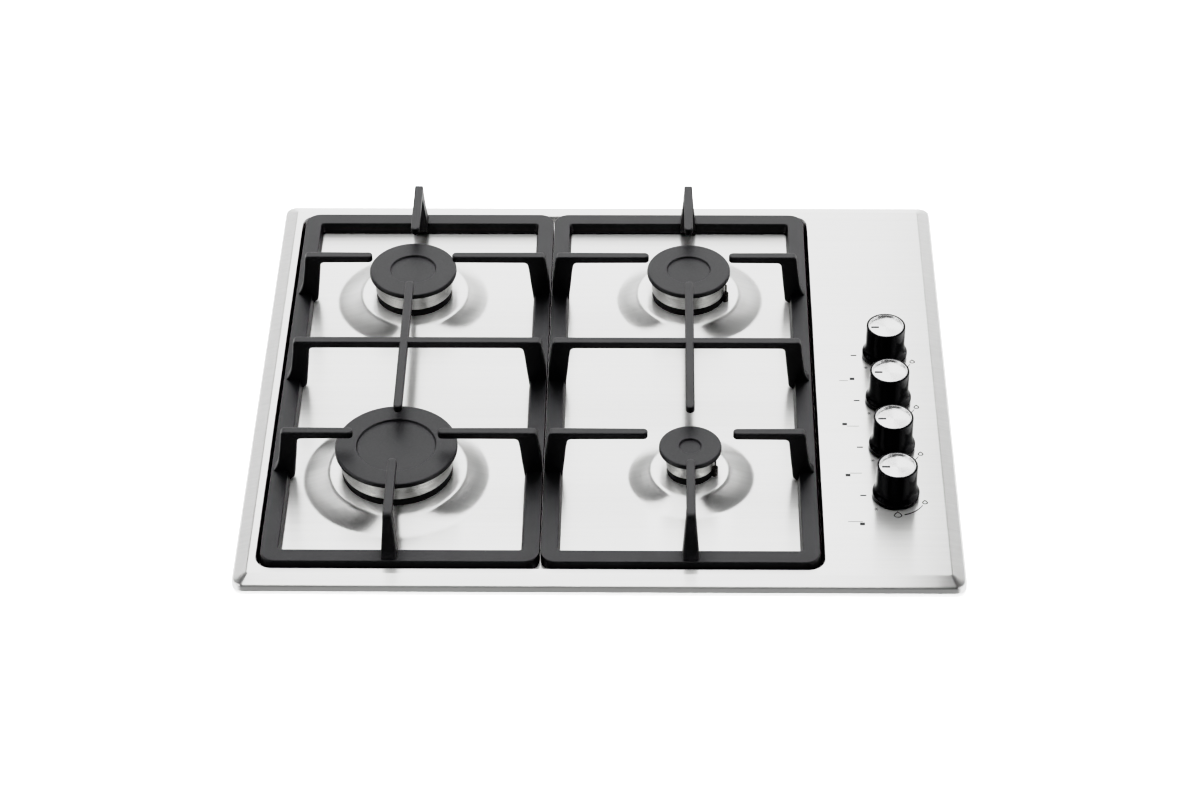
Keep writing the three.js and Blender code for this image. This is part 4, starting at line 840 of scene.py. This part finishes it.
class COOKTOP_OT_caps(bpy.types.Operator):
    """Makes the enamelled burner caps"""

    bl_idname = "cooktop.caps"
    bl_label = "Burner caps"

    def execute(self, context):
        s = measures(context.scene.cooktop_burner)
        top = CROWN_TOP_Z + s.cap_thickness
        for name, b in BURNERS.items():
            spigot = b.crown - s.crown_wall - SPIGOT_PLAY
            hollow = spigot - SPIGOT_WALL
            profile = soften([
                (0, CROWN_TOP_Z), (hollow, CROWN_TOP_Z), (hollow, CROWN_TOP_Z - 2),
                (spigot, CROWN_TOP_Z - 2), (spigot, CROWN_TOP_Z),
                (b.cap - 0.7, CROWN_TOP_Z), (b.cap, CROWN_TOP_Z + 0.9), (b.cap, top),
                (b.recess, top), (b.recess - 0.7, top - s.cap_recess), (0, top - s.cap_recess),
            ], [0, 0.4, 0.4, 0.4, 0, 0.3, 0.8, s.cap_edge, 0.6, 0.4, 0], steps=6)
            piece(f"cap_{name}", mesh_of("cap", turned(profile, b.x, b.y, 128)), f"cap_{name}",
                  "enamel", (f"burner_cap_{name}",))
        return {"FINISHED"}


class COOKTOP_OT_electrodes(bpy.types.Operator):
    """Makes the spark electrodes: a glazed ceramic with a collar and a steel pin"""

    bl_idname = "cooktop.electrodes"
    bl_label = "Spark electrodes"

    def execute(self, context):
        under = PLATEAU_Z - 1
        top = PLATEAU_Z + 9
        ceramic, groove = CERAMIC_RADIUS, GROOVE_RADIUS
        for name, b in BURNERS.items():
            profile = soften([
                (0, PLATEAU_Z - 25.1), (ceramic, PLATEAU_Z - 25.1), (ceramic, under - 2), (COLLAR_RADIUS, under - 2),
                (COLLAR_RADIUS, under), (ceramic, under), (ceramic, top - 3.4), (groove, top - 3), (groove, top - 2.6),
                (ceramic, top - 2.2), (ceramic, top), (PIN_RADIUS, top), (PIN_RADIUS, top + 8), (0, top + 8),
            ], [0, 0.5, 0, 0.4, 0.4, 0, 0.2, 0.1, 0.1, 0.2, 0.8, 0.1, 0.5, 0], steps=4)
            electrode = mesh_of("electrode", turned(profile, *spark_place(b), 40))
            piece(f"electrode_{name}", electrode, "hob", "ceramic",
                  (f"spark_electrode_{name}",))
        return {"FINISHED"}


# ---------------------------------------------------------------- pan supports
# Stations of a leg: outer edge and inner edge, each as distance from the outer face and height over the rim.
OUTER_LEG = [
    ((2.2, -4.4), (15.5, -4.4)), ((1.6, -1.8), (18.6, -1.8)), ((1.2, 3.2), (19.4, 3.2)), ((3.9, 8), (19.9, 8)),
    ((6.1, 14.5), (20.7, 14.5)), ((7.5, 24), (21.7, 24)), ((8.7, 33), (22.5, 32)), ((9.0, 36.5), (23.0, 35.2)),
    ((9.3, 39.5), (24.0, 36.9)), ((9.8, 42.2), (25.4, 37.7)), ((10.9, 43.8), (26.8, 37.88)),
    ((12.6, 44.35), (28, 37.9)), ((15, 44.4), (29.5, 37.9)),
]
SEAM_LEG = [
    ((1.6, -4.4), (13.9, -4.4)), ((1.2, -1.8), (14.9, -1.8)), ((0.9, 4.2), (15.6, 4.2)), ((1.0, 15), (16.9, 15)),
    ((2.4, 27.6), (18.1, 27)), ((3.2, 33), (18.8, 32)), ((3.5, 36.5), (19.4, 35.2)), ((3.9, 39.5), (20.4, 36.9)),
    ((4.5, 42.2), (21.8, 37.7)), ((5.6, 43.8), (23.2, 37.88)), ((7.3, 44.35), (24.4, 37.9)), ((9.7, 44.4), (26, 37.9)),
]
LEG_FULL_HEIGHT = 38.0
LEG_TOP = PAN_Z - RIM_Z
# How far the tips of the cross fingers stay from the burner's axis, and those of the end fingers from the cross
# fingers' axis: the way in from the end, and the distance.
CROSS_TIP = 34.6
END_TIPS = ((-1, 36.8), (1, 34.3))
SPINE = (-88.3, 81.0)
BAR_FOOT_Z = 42.6
BAR_TOP_Z = 52.2
FOOT_RADIUS = 4.5
FOOT_TOP_Z = 43.5


def cast_bar(courses, place, edge):
    """A bar carried along a path in an upright plane: at each station the section is a rectangle with rounded edges
    that reaches from the outer to the inner point and by the half width to both sides. A point just before and just
    after each edge keeps the sides flat to the eye. Both ends close on their middle. Each course gives stations:
    outer points, inner points and half widths. `place` gives the bar's origin, its level direction and the
    direction to its side."""
    origin, along, aside = np.array(place, float)
    outer, inner, half_widths = (np.concatenate(parts) for parts in zip(*courses))
    middle, span = (outer + inner) / 2, (outer - inner) / 2
    depth = np.linalg.norm(span, axis=1)
    up = span / depth[:, None]
    edge = np.minimum(edge, 0.96 * np.minimum(depth, half_widths))[:, None]
    flat_u, flat_v = half_widths[:, None] - edge, depth[:, None] - edge
    across, rise = [], []
    for corner, (side_u, side_v) in enumerate(((1, 1), (-1, 1), (-1, -1), (1, -1))):
        angle = np.linspace(0, np.pi / 2, 5) + corner * np.pi / 2
        u, v = side_u * flat_u + edge * np.cos(angle), side_v * flat_v + edge * np.sin(angle)
        back_u, back_v = 0.12 * side_u * flat_u, 0.12 * side_v * flat_v
        odd = corner % 2
        across.append(np.hstack([u[:, :1] - odd * back_u, u, u[:, -1:] - (1 - odd) * back_u]))
        rise.append(np.hstack([v[:, :1] - (1 - odd) * back_v, v, v[:, -1:] - odd * back_v]))
    u, v = np.hstack(across), np.hstack(rise)
    reach = middle[:, :1] + v * up[:, :1]
    height = middle[:, 1:] + v * up[:, 1:] + RIM_Z
    points = origin + reach[..., None] * along + u[..., None] * aside + height[..., None] * np.array([0, 0, 1.0])
    first, last = (np.broadcast_to(end.mean(1, keepdims=True), end.shape) for end in (points[:1], points[-1:]))
    return grid(np.concatenate([first, points, last]), wrap_columns=True)


def rounded_tip(at, direction, s):
    """Stations of a finger's free end, round when seen from above: with t from 0 to 1 the finger goes on by its half
    width times sin of t 90 degrees, and its half width falls as the cosine."""
    half = s.finger_width / 2
    t = np.append(np.linspace(0, 1, 9)[:-1] * np.pi / 2, np.radians(86))
    reach = at + direction * (np.sin(t) - 1) * half
    drop = 0.9 * (1 - np.cos(t)) ** 2
    top, bottom = (np.column_stack([reach, z]) for z in (LEG_TOP - drop, LEG_TOP - s.finger_depth + drop))
    return top, bottom, half * np.cos(t)


def leg_stations(legs, spread, s):
    """The smooth course of a leg: its outer and inner edge, and its half width, which grows towards the base."""
    pairs = np.array(legs, float).reshape(-1, 4)
    line = flowing(pairs, 3)
    line[:, [1, 3]] = np.minimum(line[:, [1, 3]], LEG_TOP)
    height = np.minimum(line[:, 1], line[:, 3])
    half = s.finger_width / 2 + 0.15 * (height < LEG_FULL_HEIGHT - 0.2)
    half = half + spread / 2 * np.clip(1 - height / LEG_FULL_HEIGHT, 0, 1)
    return line[:, :2], line[:, 2:], half


def leg_with_finger(legs, spread, reach, place, s):
    """A leg and its finger as one bar that ends in a rounded tip."""
    return cast_bar([leg_stations(legs, spread, s), rounded_tip(reach, 1, s)], place, s.finger_edge)


def bridge(width, place, s):
    """The crossbar on two legs: the outer leg's course, then the seam leg's, mirrored."""
    outer, inner, half = leg_stations(SEAM_LEG, s.cross_spread, s)
    far = (outer * (-1, 1) + (width, 0))[::-1], (inner * (-1, 1) + (width, 0))[::-1], half[::-1]
    return cast_bar([leg_stations(OUTER_LEG, s.cross_spread, s), far], place, s.finger_edge)


def spine(start, end, place, s):
    """The crossbar's middle arm: a straight bar with two rounded tips."""
    low = [part[::-1] for part in rounded_tip(start, -1, s)]
    return cast_bar([low, rounded_tip(end, 1, s)], place, s.finger_edge)


class COOKTOP_OT_supports(bpy.types.Operator):
    """Makes the two cast iron pan supports"""

    bl_idname = "cooktop.supports"
    bl_label = "Pan supports"

    def execute(self, context):
        s = measures(context.scene.cooktop_support)
        for side, outward, burner in (("left", -1, BURNERS["rear_left"]), ("right", 1, BURNERS["rear_right"])):
            low, high = (corner * 1000 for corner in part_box(f"pan_support_{side}"))
            outer_x, seam_x = (low[0], high[0]) if outward < 0 else (high[0], low[0])
            half_y, width = high[1], high[0] - low[0]
            shells = []
            for y in FINGER_YS:
                from_outer = ((outer_x, y, 0), (-outward, 0, 0), (0, 1, 0))
                from_seam = ((seam_x, y, 0), (outward, 0, 0), (0, 1, 0))
                if y == 0:
                    shells.append(bridge(width, from_outer, s))
                    continue
                for legs, x, place in ((OUTER_LEG, outer_x, from_outer), (SEAM_LEG, seam_x, from_seam)):
                    shells.append(leg_with_finger(legs, s.cross_spread, abs(burner.x - x) - CROSS_TIP, place, s))
            for inward, tip in END_TIPS:
                place = ((burner.x, -inward * half_y, 0), (0, inward, 0), (1, 0, 0))
                shells.append(leg_with_finger(OUTER_LEG, s.end_spread, half_y - FINGER_YS[0] - tip, place, s))
            shells.append(spine(*SPINE, ((burner.x, 0, 0), (0, 1, 0), (1, 0, 0)), s))
            for sx in (-1, 1):
                for sy in (-1, 1):
                    pad_x = (low[0] + high[0]) / 2 + sx * (width / 2 - s.bar_width / 2)
                    shells.append(rod(pad_x, sy * (half_y - 2 * s.bar_width), FOOT_RADIUS, FLOOR_Z, FOOT_TOP_Z))
            bar = mesh_of("bar", self.frame_bar(low[0], high[0], half_y, outward, s))
            support = combined(bar, shells, "UNION")
            piece(f"support_{side}", support, f"support_{side}", "iron",
                  (f"pan_support_{side}",), crease=40)
        return {"FINISHED"}

    @staticmethod
    def frame_bar(x0, x1, half_y, outward, s):
        """The outer bar: each point of its section, given by its distance inside the outer face and its height, goes
        once round the frame, with a corner radius that shrinks from outside to inside. The foot stands proud of the
        top by the casting's draft, except along the seam."""
        section = soften([(-s.bar_draft, BAR_FOOT_Z), (0, BAR_TOP_Z), (s.bar_width, BAR_TOP_Z),
                          (s.bar_width + s.bar_draft, BAR_FOOT_Z)], [0.6, s.bar_edge, s.bar_edge + 0.3, 0.6], steps=4)
        stations = (np.linspace(x0 + 30, x1 - 30, 8), np.linspace(30 - half_y, half_y - 30, 12)) * 2
        rows = []
        for inset, z in section:
            radius = np.interp(inset, [-s.bar_draft, 0, s.bar_width], [s.bar_draft + s.bar_corner, s.bar_corner, 3])
            left, right = (inset, max(inset, 0)) if outward < 0 else (max(inset, 0), inset)
            rows.append(lifted(ring(x0 + left, x1 - right, inset - half_y, half_y - inset, radius, stations, 8), z))
        return grid(np.stack(rows), wrap_rows=True, wrap_columns=True)


# ---------------------------------------------------------------- knobs
# The trumpet's course from skirt to body: distance outside the body and height over the skirt, as shares of the flare.
TRUMPET = ((0.72, 0.35), (0.36, 1.1), (0.1, 2.3), (0, 3.6))
# Radius and depth of the spindle's bore.
SPINDLE_BORE = (4.3, 21.3)
FACE_PLAY = 0.3
# The pointer's ends, as shares of the face's radius.
POINTER_ENDS = (0.84, 0.4)


class COOKTOP_OT_knobs(bpy.types.Operator):
    """Makes the knobs: a glossy trumpet, its spun face and the pointer"""

    bl_idname = "cooktop.knobs"
    bl_label = "Knobs"

    def execute(self, context):
        s = measures(context.scene.cooktop_knob)
        level = KNOB_TOP_Z - s.face_sink
        pocket = level - 0.7
        skirt = KNOB_BOTTOM_Z + s.skirt_height
        flare = s.skirt_radius - s.radius
        for name, y in KNOBS.items():
            trumpet = flowing([(s.skirt_radius, KNOB_BOTTOM_Z + 0.6), (s.skirt_radius, skirt - 0.6)]
                              + [(s.radius + flare * out, skirt + flare * rise) for out, rise in TRUMPET], 5)
            rim = s.face_radius + FACE_PLAY
            crown = soften([(s.radius, skirt + flare * 3.7), (s.radius, KNOB_TOP_Z), (rim, KNOB_TOP_Z),
                            (rim, pocket), (0, pocket)], [0, 0.6, 0.15, 0, 0], steps=4)
            radius, depth = SPINDLE_BORE
            bore = [(0, KNOB_BOTTOM_Z + depth), (radius, KNOB_BOTTOM_Z + depth), (radius, KNOB_BOTTOM_Z),
                    (s.skirt_radius - 0.6, KNOB_BOTTOM_Z)]
            profile = np.vstack([bore, trumpet, crown])
            piece(f"knob_{name}_body", mesh_of("knob", turned(profile, KNOB_X, y, 96)), f"knob_{name}",
                  "plastic", (f"knob_{name}",), crease=45)
            edge = KNOB_TOP_Z - 0.1
            face = soften([(0, pocket), (s.face_radius, pocket), (s.face_radius, edge), (s.face_radius - 0.5, edge),
                           (s.face_radius - s.face_bevel, level), (0, level)],
                          [0, 0, 0.15, 0.15, 0.1, 0], steps=3)
            piece(f"face_{name}", mesh_of("face", turned(face, KNOB_X, y, 96)), f"knob_{name}",
                  "face", (f"knob_face_{name}",), crease=20)
            dash = band([(KNOB_X - share * s.face_radius, y) for share in POINTER_ENDS], s.pointer,
                        level - 0.05, level + 0.08)
            piece(f"pointer_{name}", mesh_of("pointer", dash), f"knob_{name}", "ink")
        return {"FINISHED"}


# ---------------------------------------------------------------- hardware in the box
class COOKTOP_OT_hardware(bpy.types.Operator):
    """Gives the box and what it holds their finishes"""

    bl_idname = "cooktop.hardware"
    bl_label = "Hardware in the box"

    def execute(self, context):
        for starts, name, dark, light, *texture, metallic in HARDWARE:
            made = finish(name, linear(dark), linear(light), *texture, Metallic=metallic)
            for node in [n for key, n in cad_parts.items() if key.startswith(starts)]:
                node.data.materials.clear()
                node.data.materials.append(made)
        return {"FINISHED"}


# ---------------------------------------------------------------- stage
CAMERA_PLACE = (0.04625, -2.15826, 1.80808)
CAMERA_TURN = (-1.30, -39.52, -0.66)
# The corners of the black cards, in the plane.
CARDS = (
    ((-556, -1500), (-556, 1100), (-1150, 2000), (-2800, 2000), (-2800, -1500)),
    ((390, -1500), (2800, -1500), (2800, 2100), (1600, 2100), (1400, 1700), (880, 1700), (390, 900)),
)
# The soft lights: place and size in metres, the setting with their power, and whether polished surfaces mirror them.
LAMPS = (
    ("key", (-0.2, 1.5, 2.2), 2.6, 1.6, "key_power", False),
    ("fill", (0.0, -1.9, 1.2), 2.4, 1.0, "fill_power", False),
    ("left", (-1.4, -1.0, 1.4), 1.1, 0.8, "side_power", True),
    ("right", (1.4, -1.0, 1.4), 1.1, 0.8, "side_power", True),
)
# Where the room turns from its front glow to the back glow, going backwards, and to the low glow, going down.
ROOM_TURN = (-0.7, -0.3)
LOW_GLOW_FALL = (0.0, -0.1)
CUT_OUT_HALF = (277.5, 239.5)
# The film's response: light, and how much of it is shown. At FILM_WHITE it is white.
FILM_WHITE = 3.0
FILM = ((0.015, 0.001), (0.035, 0.01), (0.06, 0.035), (0.12, 0.115), (0.35, 0.36), (0.7, 0.68), (1.0, 0.79),
        (1.6, 0.85), (2.2, 0.92))


class COOKTOP_OT_stage(bpy.types.Operator):
    """Sets the pale worktop, the soft light and the camera"""

    bl_idname = "cooktop.stage"
    bl_label = "Stage"

    def execute(self, context):
        settings = context.scene.cooktop_stage
        self.worktop(settings)
        self.room(context, settings)
        self.cards(settings)
        self.camera(context, settings)
        self.film(context.scene.view_settings)
        return {"FINISHED"}

    @staticmethod
    def film(view):
        """Gives the picture the look of a bright studio exposure: full contrast in the darks, and highlights that are
        held just under white until the worktop, several times as bright, reaches it."""
        view.view_transform = "Standard"
        view.use_curve_mapping = True
        view.curve_mapping.white_level = (FILM_WHITE,) * 3
        points = view.curve_mapping.curves[3].points
        for light, shown in FILM:
            points.new(light / FILM_WHITE, shown)
        view.curve_mapping.update()

    @staticmethod
    def worktop(settings):
        """A level sheet with the cut-out that the box hangs in. The steel doesn't mirror it."""
        reach = settings.reach * 1000
        rows = [lifted(np.array([(-x, -y), (x, -y), (x, y), (-x, y)]), WORKTOP_Z)
                for x, y in (CUT_OUT_HALF, (reach, reach))]
        sheet = face_up(mesh_of("worktop", grid(np.stack(rows), wrap_columns=True)))
        made = placed("worktop", sheet)
        sheet.materials.append(dressed("laminate"))
        made.visible_glossy = False

    @staticmethod
    def room(context, settings):
        """A room that is pale behind the object and dark on the camera's side, with a large soft light above and
        behind, a soft light over the camera, and one in front at each side that the crowns and knobs mirror. The two
        black cards overhead, made apart, leave a bright strip of the room between them."""
        world = bpy.data.worlds.new("studio")
        world.use_nodes = True
        tree = world.node_tree
        tree.nodes.clear()
        way = add(tree, "ShaderNodeTexCoord").outputs["Generated"]
        axes = add(tree, "ShaderNodeSeparateXYZ", {0: way}).outputs
        front = ranged(tree, axes["Z"], *LOW_GLOW_FALL, settings.front_glow, settings.low_glow)
        glow = ranged(tree, axes["Y"], *ROOM_TURN, front, settings.back_glow, interpolation_type="SMOOTHSTEP")
        sky = add(tree, "ShaderNodeBackground", {"Strength": glow, "Color": (1, 1, 1, 1)})
        add(tree, "ShaderNodeOutputWorld", {"Surface": sky.outputs[0]})
        context.scene.world = world
        for name, place, width, height, power, mirrored in LAMPS:
            lamp = placed(name, bpy.data.lights.new(name, "AREA"))
            lamp.data.shape, lamp.data.size, lamp.data.size_y = "RECTANGLE", width, height
            lamp.data.energy = getattr(settings, power)
            lamp.location = place
            lamp.rotation_euler = (-lamp.location).to_track_quat("-Z", "Y").to_euler()
            lamp.visible_glossy = mirrored

    @staticmethod
    def cards(settings):
        """Two black cards overhead, seen only as the dark that polished surfaces mirror."""
        black = finish("card_matt_black", linear("020202"), linear("040404"), (0.9, 1.0), (5, 5, 5), 0.001)
        for card in CARDS:
            corners = lifted(np.array(card, float), settings.card_height * 1000)
            sheet = mesh_of("card", (corners, [list(range(len(card)))], np.zeros((len(card), 2))))
            made = placed("card", sheet)
            sheet.materials.append(black)
            made.visible_camera = made.visible_diffuse = made.visible_shadow = False

    @staticmethod
    def camera(context, settings):
        """The camera at the photograph's place, from its yaw, pitch and roll."""
        yaw, pitch, roll = np.radians(CAMERA_TURN)
        ahead = Vector((math.sin(yaw) * math.cos(pitch), math.cos(yaw) * math.cos(pitch), math.sin(pitch)))
        level = Vector((math.cos(yaw), -math.sin(yaw), 0))
        over = level.cross(ahead)
        right = level * math.cos(roll) + over * math.sin(roll)
        up = over * math.cos(roll) - level * math.sin(roll)
        made = placed("camera", bpy.data.cameras.new("camera"))
        made.data.lens = settings.focal_length
        made.data.sensor_width = 36
        made.data.clip_end = 50
        made.matrix_world = Matrix.Translation(CAMERA_PLACE) @ Matrix((right, up, -ahead)).transposed().to_4x4()
        context.scene.camera = made


class COOKTOP_PT_panel(bpy.types.Panel):
    """Lists the steps that dress the cooktop"""

    bl_idname = "COOKTOP_PT_panel"
    bl_label = "Gas cooktop"
    bl_space_type = "VIEW_3D"
    bl_region_type = "UI"
    bl_category = "Cooktop"

    def draw(self, context):
        for step in STEPS:
            self.layout.operator(step.bl_idname)
        for key in SETTINGS:
            group = getattr(context.scene, key)
            self.layout.separator()
            for name in group.__annotations__:
                self.layout.prop(group, name)


SETTINGS = {
    "cooktop_plate": PlateSettings,
    "cooktop_burner": BurnerSettings,
    "cooktop_support": SupportSettings,
    "cooktop_knob": KnobSettings,
    "cooktop_stage": StageSettings,
}
STEPS = (
    COOKTOP_OT_plate, COOKTOP_OT_marks, COOKTOP_OT_cups, COOKTOP_OT_spreaders, COOKTOP_OT_caps, COOKTOP_OT_electrodes,
    COOKTOP_OT_supports, COOKTOP_OT_knobs, COOKTOP_OT_hardware, COOKTOP_OT_stage,
)


def register():
    for cls in (*SETTINGS.values(), *STEPS, COOKTOP_PT_panel):
        bpy.utils.register_class(cls)
    for key, group in SETTINGS.items():
        setattr(bpy.types.Scene, key, bpy.props.PointerProperty(type=group))


def unregister():
    for key in SETTINGS:
        delattr(bpy.types.Scene, key)
    for cls in reversed((*SETTINGS.values(), *STEPS, COOKTOP_PT_panel)):
        bpy.utils.unregister_class(cls)


def main():
    """Dresses the cooktop step by step."""
    register()
    for step in STEPS:
        group, name = step.bl_idname.split(".")
        getattr(getattr(bpy.ops, group), name)()


if __name__ == "__main__":
    main()
